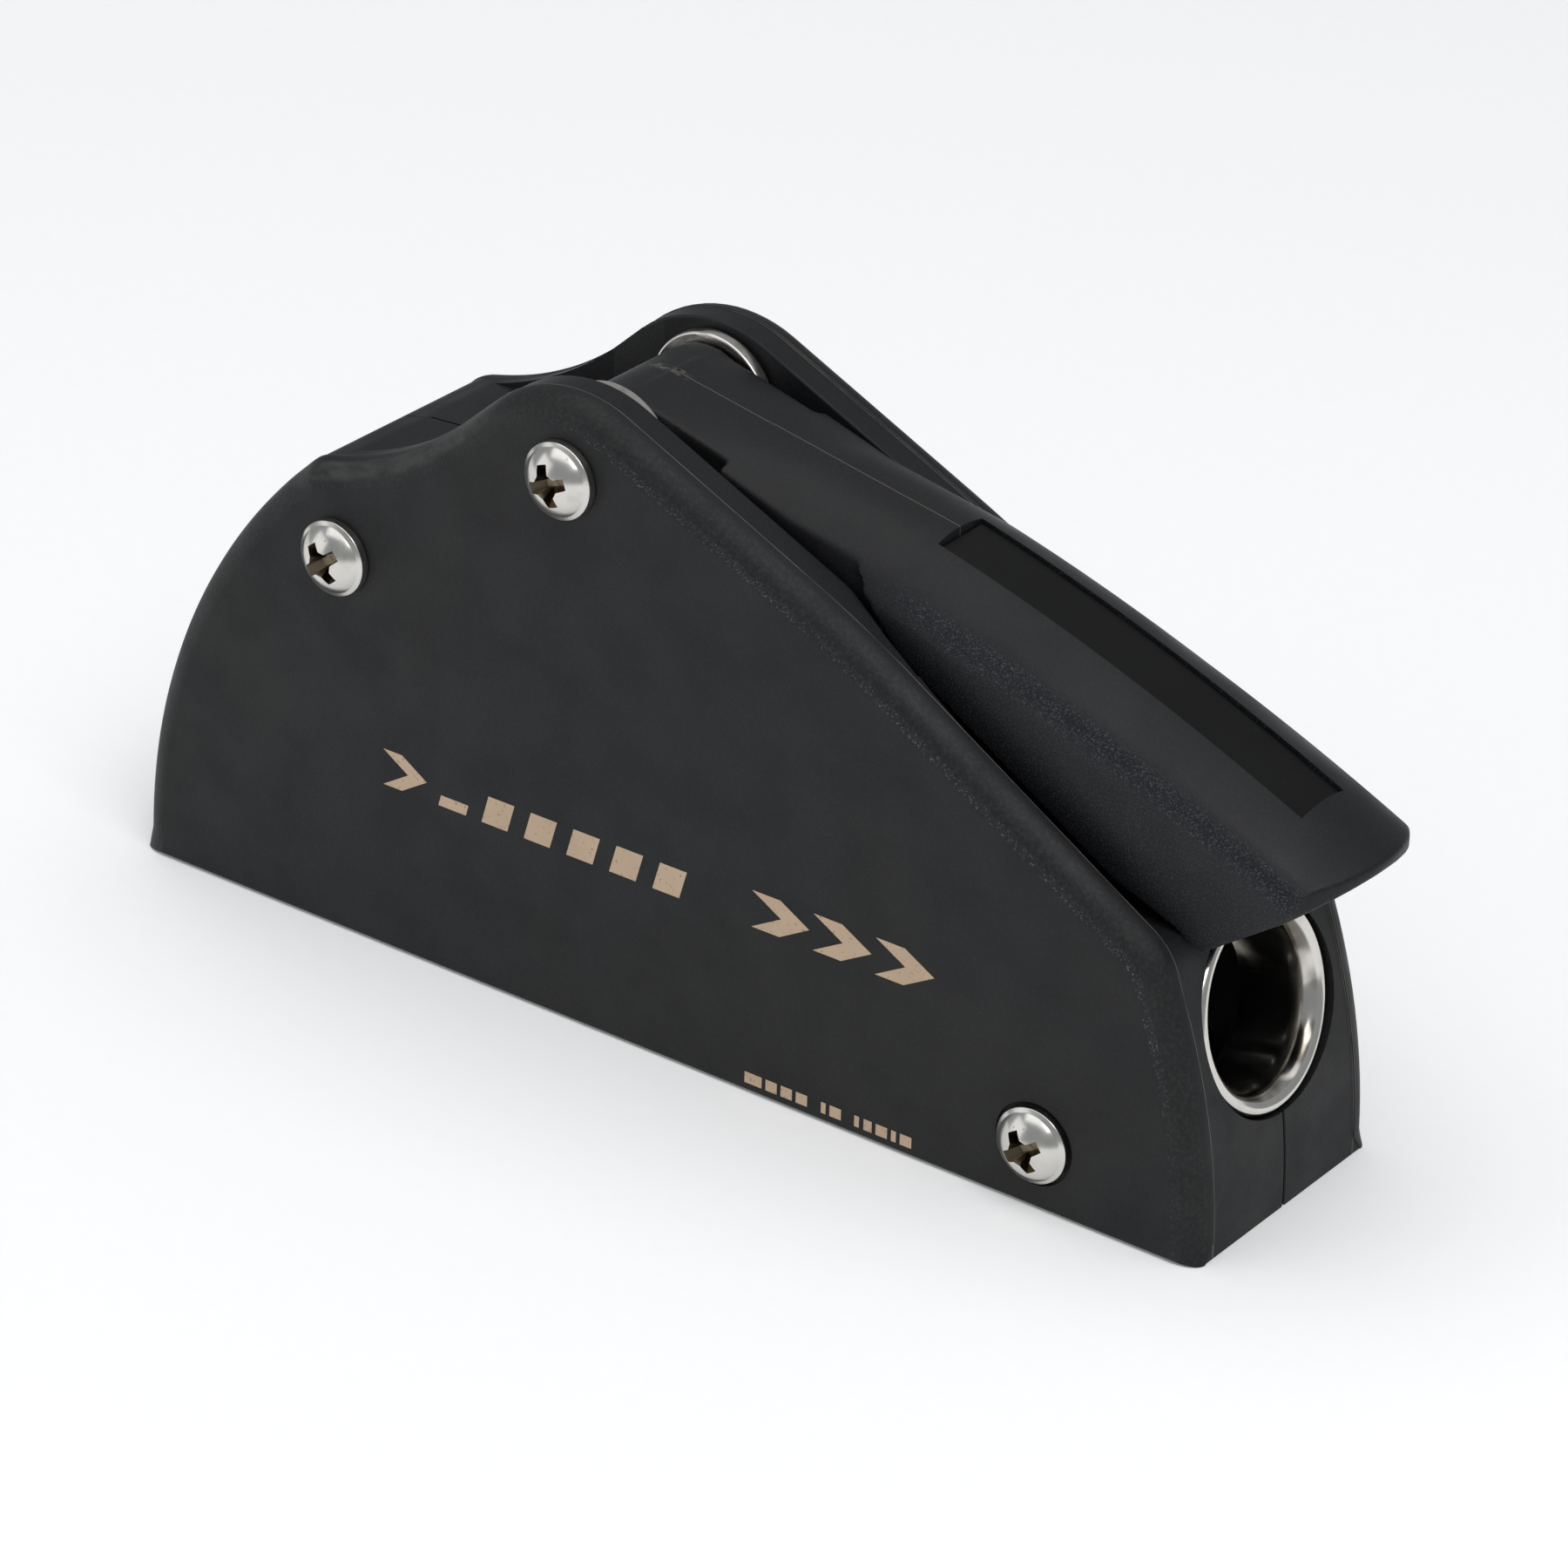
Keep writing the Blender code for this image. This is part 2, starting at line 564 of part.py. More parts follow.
def cam_spring():
    """Hairpin spring wound on the rear sleeve, one leg on the rear wall and one on the cam's back."""
    start_angle = math.radians(-62)
    end_angle = math.radians(-84) + 2 * math.pi * SPRING_TURNS
    points_per_turn = 14
    count = int(points_per_turn * (end_angle - start_angle) / (2 * math.pi))
    width = SPRING_PITCH * SPRING_TURNS
    coil = []
    for i in range(count + 1):
        share = i / count
        x, z = polar(REAR_SCREW, SPRING_COIL_RADIUS, start_angle + (end_angle - start_angle) * share)
        coil.append((x, width * (share - 0.5), z))
    wall_leg = leg_points(coil[0], start_angle - math.pi / 2, WALL_LEG)
    cam_leg = leg_points(coil[-1], end_angle + math.pi / 2, CAM_LEG)
    points = wall_leg[::-1] + coil + cam_leg
    curve = bpy.data.curves.new("cam_spring", 'CURVE')
    curve.dimensions = '3D'
    curve.bevel_depth = SPRING_WIRE
    curve.bevel_resolution = 2
    curve.use_fill_caps = True
    spline = curve.splines.new('POLY')
    spline.points.add(len(points) - 1)
    for point, where in zip(spline.points, points):
        point.co = (*where, 1)
    wire = bpy.data.objects.new("cam_spring_wire", curve)
    PARTS.objects.link(wire)
    return stainless(solid_from(wire, "cam_spring", PARTS), 0.3)


def leg_points(start, angle, length):
    """A straight spring leg leaving a coil end at an angle in the XZ plane."""
    run = Vector((math.cos(angle), 0, math.sin(angle)))
    return [tuple(Vector(start) + run * length * k / 2) for k in (1, 2)]


# ------------------------------------------------------------------ handle

def crest(x):
    """Height of the handle's centre line along its top."""
    if x < GRIP_START[0]:
        return GRIP_START[1] + NECK_SLOPE * (x - GRIP_START[0])
    run = x - GRIP_START[0]
    return GRIP_START[1] + GRIP_SLOPE * run + GRIP_BEND * run * run


def crown_section(half_width, crown, shoulder, steps=6):
    """Right half of an arched section: (y, drop) from the middle to the foot of the shoulder."""
    shoulder_y = half_width - shoulder
    centre_drop = crown - math.sqrt((crown - shoulder) ** 2 - shoulder_y ** 2)
    lean = math.asin(shoulder_y / (crown - shoulder))
    angles = [lean * k / steps for k in range(steps)]
    top = [(crown * math.sin(angle), crown - crown * math.cos(angle)) for angle in angles]
    turn = math.pi / 2 - lean
    for k in range(4):
        angle = lean + turn * k / 3
        top.append((shoulder_y + shoulder * math.sin(angle), centre_drop - shoulder * math.cos(angle)))
    return top


def loft(name, stations, home):
    """Skin a row of closed sections; each station is a list of (x, y, z) of equal length."""
    mesh = bpy.data.meshes.new(name)
    shape = bmesh.new()
    rings = [[shape.verts.new(point) for point in ring] for ring in stations]
    count = len(rings[0])
    for first, second in zip(rings, rings[1:]):
        for i in range(count):
            j = (i + 1) % count
            shape.faces.new((first[i], first[j], second[j], second[i]))
    shape.faces.new(rings[0])
    shape.faces.new(list(reversed(rings[-1])))
    shape.to_mesh(mesh)
    shape.free()
    return place(name, settle(mesh), home)


def arched_ring(x, half_width, crown, shoulder, bottom, inset=0.0):
    """Closed section at x: arched top, straight sides down to bottom."""
    half = crown_section(half_width - inset, crown - inset, max(shoulder - inset, 0.3 * MM))
    top = crest(x) - inset
    right = [(x, y, top - drop) for y, drop in half] + [(x, half_width - inset, bottom)]
    left = [(px, -py, pz) for px, py, pz in reversed(right)]
    return right + left[:-1]


def crown_radius(x):
    """The crown is nearly flat at the hub, tightest on the neck and a little flatter on the grip."""
    if x < GRIP_CROWN_X[0]:
        start, end, before, after = AXLE[0], NECK_CROWN_X, HUB_CROWN_RADIUS, NECK_CROWN_RADIUS
    else:
        start, end, before, after = GRIP_CROWN_X[0], GRIP_CROWN_X[1], NECK_CROWN_RADIUS, GRIP_CROWN_RADIUS
    share = min(1.0, max(0.0, (x - start) / (end - start)))
    return 1 / (share / after + (1 - share) / before)


def arched_block(name, x_range, half_width, shoulder, bottom, steps, inset=0.0, home=CUTTERS):
    low, high = x_range
    stations = []
    for k in range(steps + 1):
        x = low + (high - low) * k / steps
        stations.append(arched_ring(x, half_width, crown_radius(x), shoulder, bottom, inset))
    return loft(name, stations, home)


def grip_side_outline():
    """Side view of the grip below its arched back: its lower edge follows the shell's slope."""
    behind = GRIP_STEP_X - 5 * MM
    heel = [(25.4 * MM, 70.1 * MM), (26.2 * MM, 68.3 * MM)]
    skirt = [SKIRT_START, *SKIRT_KNEES, SKIRT_END]
    tip = [(TIP_X, TIP_EDGE_Z), (TIP_X + 5 * MM, ABOVE)]
    return [(behind, ABOVE), (behind, heel[0][1])] + heel + skirt + tip


def neck_side_outline():
    """Side view of the neck, from the hub to inside the grip."""
    end_x, end_z = 60 * MM, 62.5 * MM
    return [(AXLE[0], ABOVE), (AXLE[0], 69 * MM), (NECK_STEP_X, 67 * MM), (27 * MM, end_z), (end_x, end_z),
            (end_x, ABOVE)]


def tip_outline():
    """Plan view of the grip: (x, y) with a round tip."""
    centre = (TIP_X - TIP_PLAN_RADIUS, 0)
    nose = arc(centre, TIP_PLAN_RADIUS, -70, 70, 13)
    back, wide = -40 * MM, 20 * MM
    return [(back, -wide), (nose[0][0], -wide)] + nose + [(nose[-1][0], wide), (back, wide)]


def plan_prism(name, outline, z_low, z_high):
    """An (x, y) outline extruded along Z, as a cutter."""
    prism = plate(name, outline, -z_high, -z_low, CUTTERS)
    prism.data.transform(Matrix.Rotation(-math.pi / 2, 4, 'X'))
    settle(prism.data)
    return prism


def handle_body():
    """Neck and hollow grip in one moulding, with a two-eared hub."""
    low = 30 * MM
    handle = arched_block("handle", (GRIP_STEP_X, TIP_X + 2 * MM), GRIP_HALF_WIDTH, GRIP_SHOULDER_RADIUS,
                          low, 10, home=PARTS)
    combine(handle, plate("grip_side", grip_side_outline(), -BEYOND, BEYOND, CUTTERS), 'INTERSECT')
    combine(handle, plan_prism("grip_plan", tip_outline(), 0, ABOVE + 10 * MM), 'INTERSECT')
    combine(handle, grip_hollow())
    neck = arched_block("neck", (NECK_STEP_X, GRIP_STEP_X + WALL), NECK_HALF_WIDTH, 0.8 * MM, low, 4,
                        inset=0.02 * MM)
    root = arched_block("neck_root", (AXLE[0] + 1.4 * MM, NECK_STEP_X + 2 * MM), HUB_HALF_WIDTH, 0.5 * MM,
                        low, 2, inset=0.1 * MM)
    side = plate("neck_side", neck_side_outline(), -BEYOND, BEYOND, CUTTERS)
    for block in (neck, root):
        combine(handle, combine(block, side, 'INTERSECT'), 'UNION')
    ears = hull_of_circles(AXLE, HUB_RADIUS, CAM_PIN, EAR_RADIUS)
    combine(handle, plate("hub_ears", ears, -HUB_HALF_WIDTH, HUB_HALF_WIDTH, CUTTERS), 'UNION')
    slot = plate("cam_slot", cam_slot_outline(), -CAM_SLOT_HALF_WIDTH, CAM_SLOT_HALF_WIDTH, CUTTERS)
    combine(handle, slot)
    combine(handle, cutter_rod("hub_bore", AXLE, HUB_BUSH_RADIUS + GAP))
    combine(handle, cutter_rod("crank_pin_bore", CAM_PIN, CAM_PIN_RADIUS + GAP, 24))
    combine(handle, label_pocket())
    return composite(handle)


def grip_hollow():
    """Space under the grip, leaving an even wall."""
    return arched_block("grip_hollow", (GRIP_STEP_X + 3 * MM, TIP_X + 6 * MM), GRIP_HALF_WIDTH,
                        GRIP_SHOULDER_RADIUS, 20 * MM, 8, inset=WALL)


def cam_slot_outline():
    """Gap between the ears that clears the cam's hub and the swing of its arm."""
    reach = 9.5 * MM
    swing = arc(CAM_PIN, reach, 20, 175, 10)
    low = 40 * MM
    rear_x = CAM_PIN[0] - 16 * MM
    return swing + [(rear_x, CAM_PIN[1]), (rear_x, low), (CAM_PIN[0] + reach, low)]


def label_strip(name, grow, z_low, z_high, home):
    """A strip that follows the crest, sunk below it between two depths."""
    steps = 6
    stations = []
    width = LABEL_HALF_WIDTH + grow
    for k in range(steps + 1):
        share = k / steps
        x = LABEL_X[0] - grow + (LABEL_X[1] - LABEL_X[0] + 2 * grow) * share
        top = crest(x)
        stations.append([(x, -width, top + z_low), (x, width, top + z_low), (x, width, top + z_high),
                         (x, -width, top + z_high)])
    return loft(name, stations, home)


def label_pocket():
    return label_strip("label_pocket", GAP, LABEL_BOTTOM - GAP, 4 * MM, CUTTERS)


def handle_label():
    strip = label_strip("handle_label", 0, LABEL_BOTTOM, LABEL_TOP, PARTS)
    return coat(strip, "handle_label_film", (0.012, 0.012, 0.013), 0.3)


def crank_plate(name, side):
    """Stainless disc beside the hub, with a lobe that carries the cam pin."""
    low, high = sorted((side * CRANK_PLATE_Y[0], side * CRANK_PLATE_Y[1]))
    disc = plate(name, hull_of_circles(AXLE, CRANK_DISC_RADIUS, CAM_PIN, CRANK_LOBE_RADIUS, 14), low, high)
    combine(disc, cutter_rod(name + "_axle_bore", AXLE, SLEEVE_RADIUS + GAP))
    combine(disc, cutter_rod(name + "_pin_bore", CAM_PIN, CAM_PIN_RADIUS + GAP, 24))
    return stainless(disc, 0.2)


# ------------------------------------------------------------------ cam

def cam_outline():
    """Hub, arm and serrated face; the face's centre is offset so that it wedges."""
    start, end = -120, -58
    face = []
    for k in range(CAM_TEETH + 1):
        angle = start + (end - start) * k / CAM_TEETH
        face.append(polar(CAM_FACE_CENTRE, CAM_FACE_RADIUS, math.radians(angle)))
        if k < CAM_TEETH:
            valley = math.radians(angle + 0.75 * (end - start) / CAM_TEETH)
            face.append(polar(CAM_FACE_CENTRE, CAM_FACE_RADIUS - CAM_TOOTH_DEPTH, valley))
    shoulder = [(CAM_PIN[0] + 22 * MM, CAM_PIN[1] - 27 * MM), (CAM_PIN[0] + 9 * MM, CAM_PIN[1] - 14 * MM)]
    hub = arc(CAM_PIN, CAM_HUB_RADIUS, -20, 190, 12)
    return face + shoulder + hub + [(CAM_PIN[0] - 8 * MM, CAM_PIN[1] - 26 * MM)]


def cam():
    block = plate("cam", cam_outline(), -CAM_SHOE_HALF_WIDTH, CAM_SHOE_HALF_WIDTH)
    clear = [(CAM_PIN[0] - 20 * MM, CAM_PIN[1] - 17 * MM), (CAM_PIN[0] + 30 * MM, CAM_PIN[1] - 17 * MM),
             (CAM_PIN[0] + 30 * MM, CAM_PIN[1] + 20 * MM), (CAM_PIN[0] - 20 * MM, CAM_PIN[1] + 20 * MM)]
    for side, label in ((-1, "near"), (1, "far")):
        low, high = sorted((side * CAM_HUB_HALF_WIDTH, side * BEYOND))
        combine(block, plate("cam_shoulder_" + label, clear, low, high, CUTTERS))
    rim = CAM_FACE_RADIUS + 0.8 * MM
    section = [(rim, CAM_GROOVE_HALF_WIDTH), (rim, -CAM_GROOVE_HALF_WIDTH),
               (CAM_FACE_RADIUS - CAM_GROOVE_DEPTH, 0)]
    combine(block, turned("cam_groove", section, along_y(*CAM_FACE_CENTRE), 50, closed=True, home=CUTTERS))
    combine(block, cutter_rod("cam_bore", CAM_PIN, CAM_BUSH_RADIUS + GAP))
    return coat(block, "cam_bronze", (0.45, 0.40, 0.33), 0.35, 1.0)


# ------------------------------------------------------------------ assembly

def build_fixed_parts():
    tools = shell_cutters()
    half_shell("shell_near", -1, tools)
    half_shell("shell_far", 1, tools)
    fairlead("front_fairlead", FRONT_FAIRLEAD)
    fairlead("rear_fairlead", REAR_FAIRLEAD)
    jaw_plate()
    threaded_sleeve("axle_sleeve", AXLE)
    threaded_sleeve("rear_sleeve", REAR_SCREW)
    threaded_sleeve("front_sleeve", FRONT_SCREW)
    turns = {"axle": (AXLE, 20, 65), "rear": (REAR_SCREW, 38, 10), "front": (FRONT_SCREW, 33, 80)}
    for label, (at, near_turn, far_turn) in turns.items():
        pan_head_screw(label + "_screw_near", at, -1, near_turn)
        pan_head_screw(label + "_screw_far", at, 1, far_turn)
    for name, x in INSERT_X.items():
        deck_insert(name, x)
    cam_spring()


def build_handle():
    """Everything that turns with the handle about the axle."""
    pin = rod("cam_pin", CAM_PIN, CAM_PIN_RADIUS, -CRANK_PLATE_Y[1], CRANK_PLATE_Y[1], 24)
    pieces = [handle_body(), handle_label(), stainless(pin, 0.3)]
    for side, label in ((-1, "near"), (1, "far")):
        pieces.append(crank_plate("crank_plate_" + label, side))
        low, high = sorted((side * 6.0 * MM, side * HUB_HALF_WIDTH))
        bush = tube("hub_bush_" + label, AXLE, HUB_BUSH_RADIUS, SLEEVE_RADIUS + GAP, low, high)
        pieces.append(coat(bush, "hub_bush_acetal_" + label, (0.75, 0.73, 0.68), 0.45))
    pivot = hinge("handle_hinge", AXLE)
    for piece in pieces:
        hang(piece, pivot)
    return pivot


def build_cam(handle_pivot):
    """The cam and its bushes, which swing on the pin that the handle carries."""
    pieces = [cam()]
    for side, label in ((-1, "near"), (1, "far")):
        low, high = sorted((side * GAP, side * CAM_HUB_HALF_WIDTH))
        bush = tube("cam_bush_" + label, CAM_PIN, CAM_BUSH_RADIUS, CAM_PIN_RADIUS + GAP, low, high, 24)
        pieces.append(coat(bush, "cam_bush_bronze_" + label, (0.55, 0.38, 0.20), 0.4, 1.0))
    pivot = hinge("cam_hinge", CAM_PIN)
    hang(pivot, handle_pivot)
    for piece in pieces:
        hang(piece, pivot)


clear_scene()
build_fixed_parts()
build_cam(build_handle())
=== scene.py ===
"""Looks of the lever-operated rope clutch: every piece that shows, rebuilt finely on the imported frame.

Frame: the flat base is z = 0, +X points to the fairlead under the handle's tip, and the seam between the
two half shells is the plane y = 0. Outlines are (x, z) points. All lengths are in metres.
"""

import json
import math

import bmesh
import bpy
import numpy as np
from mathutils import Matrix, Vector


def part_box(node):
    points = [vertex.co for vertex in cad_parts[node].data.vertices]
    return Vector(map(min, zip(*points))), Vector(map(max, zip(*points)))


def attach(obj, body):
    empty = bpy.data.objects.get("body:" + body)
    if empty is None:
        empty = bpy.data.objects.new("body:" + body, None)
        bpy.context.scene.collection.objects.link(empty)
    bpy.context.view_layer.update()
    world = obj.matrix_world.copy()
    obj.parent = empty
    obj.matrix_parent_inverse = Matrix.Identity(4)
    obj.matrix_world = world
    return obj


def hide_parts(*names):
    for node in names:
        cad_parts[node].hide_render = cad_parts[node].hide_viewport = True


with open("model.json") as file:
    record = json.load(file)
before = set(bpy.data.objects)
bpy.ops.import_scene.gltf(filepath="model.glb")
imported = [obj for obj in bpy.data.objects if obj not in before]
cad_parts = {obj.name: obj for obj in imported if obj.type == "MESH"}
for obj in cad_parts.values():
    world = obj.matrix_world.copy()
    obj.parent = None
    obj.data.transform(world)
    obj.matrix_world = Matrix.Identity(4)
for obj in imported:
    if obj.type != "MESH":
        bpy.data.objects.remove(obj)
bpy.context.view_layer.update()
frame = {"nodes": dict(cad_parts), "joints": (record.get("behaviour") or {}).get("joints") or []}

MM = 0.001
GAP = 0.3 * MM
WELD = 0.002 * MM


def mm(*lengths):
    """Millimetres as metres."""
    return tuple(length * MM for length in lengths)


def pivot_of(joint_name):
    """(x, z) of a hinge's axis, which always runs along Y."""
    joint = next(j for j in frame["joints"] if j["name"] == joint_name)
    return joint["pos_m"][0], joint["pos_m"][2]


def middle_of(node):
    """(x, z) of the middle of a CAD node's box."""
    low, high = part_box(node)
    return (low.x + high.x) / 2, (low.z + high.z) / 2


# Half shells
SHELL_LOW, SHELL_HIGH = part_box("shell_near")
HALF_WIDTH = -SHELL_LOW.y
REAR_X = SHELL_LOW.x
FRONT_X = SHELL_HIGH.x
REAR_ARC_RADIUS = 82.8 * MM
REAR_ARC_CENTRE = (REAR_X + REAR_ARC_RADIUS, 1.2 * MM)
REAR_ARC_END = 135
REAR_WALL = 5 * MM
FRONT_ARC_RADIUS = 90 * MM
FRONT_ARC_START = 21
EDGE_RADIUS = 4 * MM
BASE_EDGE_RADIUS = 0.6 * MM
EDGE_STEPS = 10
CREASE_LIP = 0.14 * MM
SEAM_CHAMFER = 0.12 * MM
CAVITY_HALF_WIDTH = 13.2 * MM
POCKET_HALF_WIDTH = 15.4 * MM
HUB_WALL_HALF_WIDTH = 11.6 * MM
CREASE_HALF_WIDTH = HALF_WIDTH - EDGE_RADIUS
FLOOR_TOP = 4.4 * MM
FRONT_WALL_TOP = 39 * MM
SADDLE_START = mm(-52.5, 64.3)
SADDLE_END = mm(-31, 65.6)
INNER_EDGE_RADIUS = 0.35 * MM
ABOVE = 110 * MM
BEYOND = 25 * MM
# (x, half width) along the top opening: narrow at the hub, and wide under the grip
TOP_OPENING = [(-31 * MM, CAVITY_HALF_WIDTH - 0.1 * MM), (-22 * MM, HUB_WALL_HALF_WIDTH),
               (24 * MM, HUB_WALL_HALF_WIDTH), mm(31, 13.6), mm(38.5, 14.8),
               (45 * MM, CREASE_HALF_WIDTH - 0.05 * MM), (90 * MM, CREASE_HALF_WIDTH - 0.05 * MM)]

# Shafts and cross screws, all along Y
AXLE = pivot_of("handle_hinge")
REAR_SCREW = middle_of("rear_sleeve")
FRONT_SCREW = middle_of("front_sleeve")
SLEEVE_RADIUS = 4 * MM
SLEEVE_HALF_LENGTH = 15.3 * MM
THREAD_RADIUS = 2.5 * MM
CLEAR_RADIUS = 2.8 * MM
HEAD_RADIUS = 5 * MM
HEAD_HEIGHT = 3.7 * MM
HEAD_RIM = 1.05 * MM
DOME_RADIUS = 5.6 * MM
SPOT_FACE_RADIUS = HEAD_RADIUS + 0.5 * MM
RECESS_MOUTH = mm(7.8, 1.85, 0.6)
RECESS_FLOOR = mm(2.6, 1.00, -2.3)
SCREW_REACH = 12 * MM
THREAD_PITCH = 0.8 * MM
THREAD_DEPTH = 0.4 * MM
HEAD_CLEARANCE = 0.05 * MM
SPOT_FACE_DEPTH = 0.6 * MM

# Crank and cam
CAM_PIN = pivot_of("cam_hinge")
CAM_PIN_RADIUS = 3 * MM
CAM_HUB_RADIUS = 6.3 * MM
CAM_HUB_HALF_WIDTH = 5.5 * MM
CAM_SHOE_HALF_WIDTH = 8.5 * MM
CAM_FACE_CENTRE = (CAM_PIN[0] + 8 * MM, CAM_PIN[1] - 8 * MM)
CAM_FACE_RADIUS = 36.2 * MM
CAM_BUSH_RADIUS = 4.2 * MM
CAM_TEETH = 11
CAM_TOOTH_DEPTH = 1.3 * MM
CAM_GROOVE_DEPTH = 5 * MM
CAM_GROOVE_HALF_WIDTH = 6.6 * MM
CRANK_DISC_RADIUS = 9 * MM
CRANK_LOBE_RADIUS = 6.4 * MM
CRANK_PLATE_Y = mm(9.3, 11.1)

# Handle
HUB_RADIUS = 7.9 * MM
HUB_HALF_WIDTH = 9 * MM
EAR_RADIUS = 6.2 * MM
CAM_SLOT_HALF_WIDTH = 5.9 * MM
HUB_BUSH_RADIUS = 5.3 * MM
NECK_HALF_WIDTH = 10.7 * MM
GRIP_HALF_WIDTH = 12.5 * MM
NECK_STEP_X = 3.4 * MM
GRIP_STEP_X = 24.4 * MM
TIP_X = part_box("handle")[1].x
TIP_EDGE_Z = 49.5 * MM
TIP_PLAN_RADIUS = 17 * MM
SKIRT_START = mm(28.6, 65.7)
SKIRT_KNEES = (mm(31.5, 62.2), mm(63, 43.2), mm(72, 39.8))
SKIRT_END = mm(75.6, 37.6)
HUB_CROWN_RADIUS = 150 * MM
NECK_CROWN_RADIUS = 17 * MM
NECK_CROWN_X = 14 * MM
GRIP_CROWN_RADIUS = 20 * MM
GRIP_CROWN_X = mm(60, 92)
GRIP_SHOULDER_RADIUS = 6 * MM
GRIP_START = mm(31.3, 74.1)
GRIP_SLOPE = -0.26
GRIP_BEND = -2.0
NECK_SLOPE = -0.186
GRIP_WALL = 3.2 * MM
LABEL_X = mm(31.4, 82.9)
LABEL_HALF_WIDTH = 4.2 * MM
LABEL_TOP = -1.05 * MM
LABEL_BOTTOM = -1.6 * MM
LABEL_STEPS = 40
CROWN_STEPS = 16
SHOULDER_STEPS = 8
MOULD_VOXEL = 0.32 * MM

# Fairleads: centre (x, z), the lean of the axis and which way it points
FRONT_FAIRLEAD = (mm(76.1, 25.5), math.radians(14.3), 1)
REAR_FAIRLEAD = (mm(-77.1, 23.7), math.radians(16.0), -1)
FAIRLEAD_RADIUS = 13.25 * MM
BEAD_RADIUS = 0.9 * MM
BEAD_HEIGHT = 0.6 * MM
BEAD_END = 120
FLARE_RADIUS = 3.2 * MM
FLARE_END = 168
FLANGE_BACK = -1.3 * MM
FAIRLEAD_BORE = 10 * MM
FAIRLEAD_TUBE = 11.1 * MM

# Jaw, inserts and spring
JAW_X = mm(-32, 20)
JAW_TOP = 17 * MM
JAW_HALF_WIDTH = 12.8 * MM
JAW_PITCH = 4 * MM
JAW_TOOTH_DEPTH = 1 * MM
JAW_GROOVE_HALF_WIDTH = 8 * MM
JAW_GROOVE_DEPTH = 6.5 * MM
INSERT_NODES = ("deck_insert_rear", "deck_insert_front")
INSERT_FLATS = 12 * MM
INSERT_FLANGE = 3 * MM
INSERT_BOSS_RADIUS = 4.6 * MM
SPRING_WIRE = 0.8 * MM
SPRING_COIL_RADIUS = 5.3 * MM
SPRING_PITCH = 1.95 * MM
SPRING_TURNS = 4
WALL_LEG = 23.5 * MM
CAM_LEG = 22.6 * MM

# Printed marks on the near wall
PRINT_THICKNESS = 0.03 * MM
ROW_HEIGHT = 5 * MM
ROW_BASE = 23.3 * MM
TICK_HEIGHT = 1.5 * MM
TICK_BASE = 1.4 * MM

# Studio: the camera's azimuth, elevation and roll are in degrees, and its lens is in millimetres
AIM = Vector(mm(6.57, 0, 31.48))
CAMERA_ANGLES = (35.89, 27.85, 1.73)
CAMERA_DISTANCE = 0.7866
CAMERA_LENS = 146.8
FLOOR_HALF_SIZE = 4.0
FLOOR_DROP = 0.05 * MM

SCENE = bpy.context.scene
WORK = SCENE.collection
FINISHES = {}


# --- outlines

def polar(centre, radius, angle):
    return (centre[0] + radius * math.cos(angle), centre[1] + radius * math.sin(angle))


def arc(centre, radius, start, end, steps):
    """Points of an arc, angles in degrees, both ends included."""
    span = math.radians(end - start)
    return [polar(centre, radius, math.radians(start) + span * i / steps) for i in range(steps + 1)]


def rounded(corners, steps):
    """Outline through corners (x, z, radius), each with radius > 0 turned into an arc."""
    points = []
    count = len(corners)
    for i, (x, z, radius) in enumerate(corners):
        here = Vector((x, z))
        if radius <= 0:
            points.append((x, z))
            continue
        back = (Vector(corners[i - 1][:2]) - here).normalized()
        ahead = (Vector(corners[(i + 1) % count][:2]) - here).normalized()
        half = back.angle(ahead) / 2
        reach = radius / math.tan(half)
        start, end = here + back * reach, here + ahead * reach
        centre = here + (back + ahead).normalized() * (radius / math.sin(half))
        first = start - centre
        turn = first.angle_signed(end - centre)
        for k in range(steps + 1):
            point = centre + Matrix.Rotation(-turn * k / steps, 2) @ first
            points.append((point.x, point.y))
    return points


def hull_of_circles(a, radius_a, b, radius_b, steps=40):
    """Outline of two circles joined by their outer tangents."""
    along = math.atan2(b[1] - a[1], b[0] - a[0])
    lean = math.acos((radius_a - radius_b) / math.dist(a, b))
    start_a, end_a = math.degrees(along + lean), math.degrees(along - lean) + 360
    start_b, end_b = math.degrees(along - lean), math.degrees(along + lean)
    return arc(a, radius_a, start_a, end_a, steps) + arc(b, radius_b, start_b, end_b, steps)


# --- solids

def settle(mesh):
    """Weld a mesh closed and turn its faces outwards."""
    shape = bmesh.new()
    shape.from_mesh(mesh)
    bmesh.ops.remove_doubles(shape, verts=shape.verts, dist=WELD)
    bmesh.ops.recalc_face_normals(shape, faces=shape.faces)
    shape.to_mesh(mesh)
    shape.free()
    return mesh


def place(name, data):
    thing = bpy.data.objects.new(name, data)
    WORK.objects.link(thing)
    return thing


def place_shape(name, shape):
    """A mesh object from a bmesh, which is used up."""
    mesh = bpy.data.meshes.new(name)
    shape.to_mesh(mesh)
    shape.free()
    return place(name, mesh)


def place_curve(name, points, dimensions, closed=False):
    """A curve object with one straight-sided spline."""
    curve = bpy.data.curves.new(name, 'CURVE')
    curve.dimensions = dimensions
    spline = curve.splines.new('POLY')
    spline.points.add(len(points) - 1)
    spline.use_cyclic_u = closed
    for point, where in zip(spline.points, points):
        point.co = (*where, 1)
    return place(name, curve)


def discard(things):
    for thing in things:
        bpy.data.objects.remove(thing, do_unlink=True)


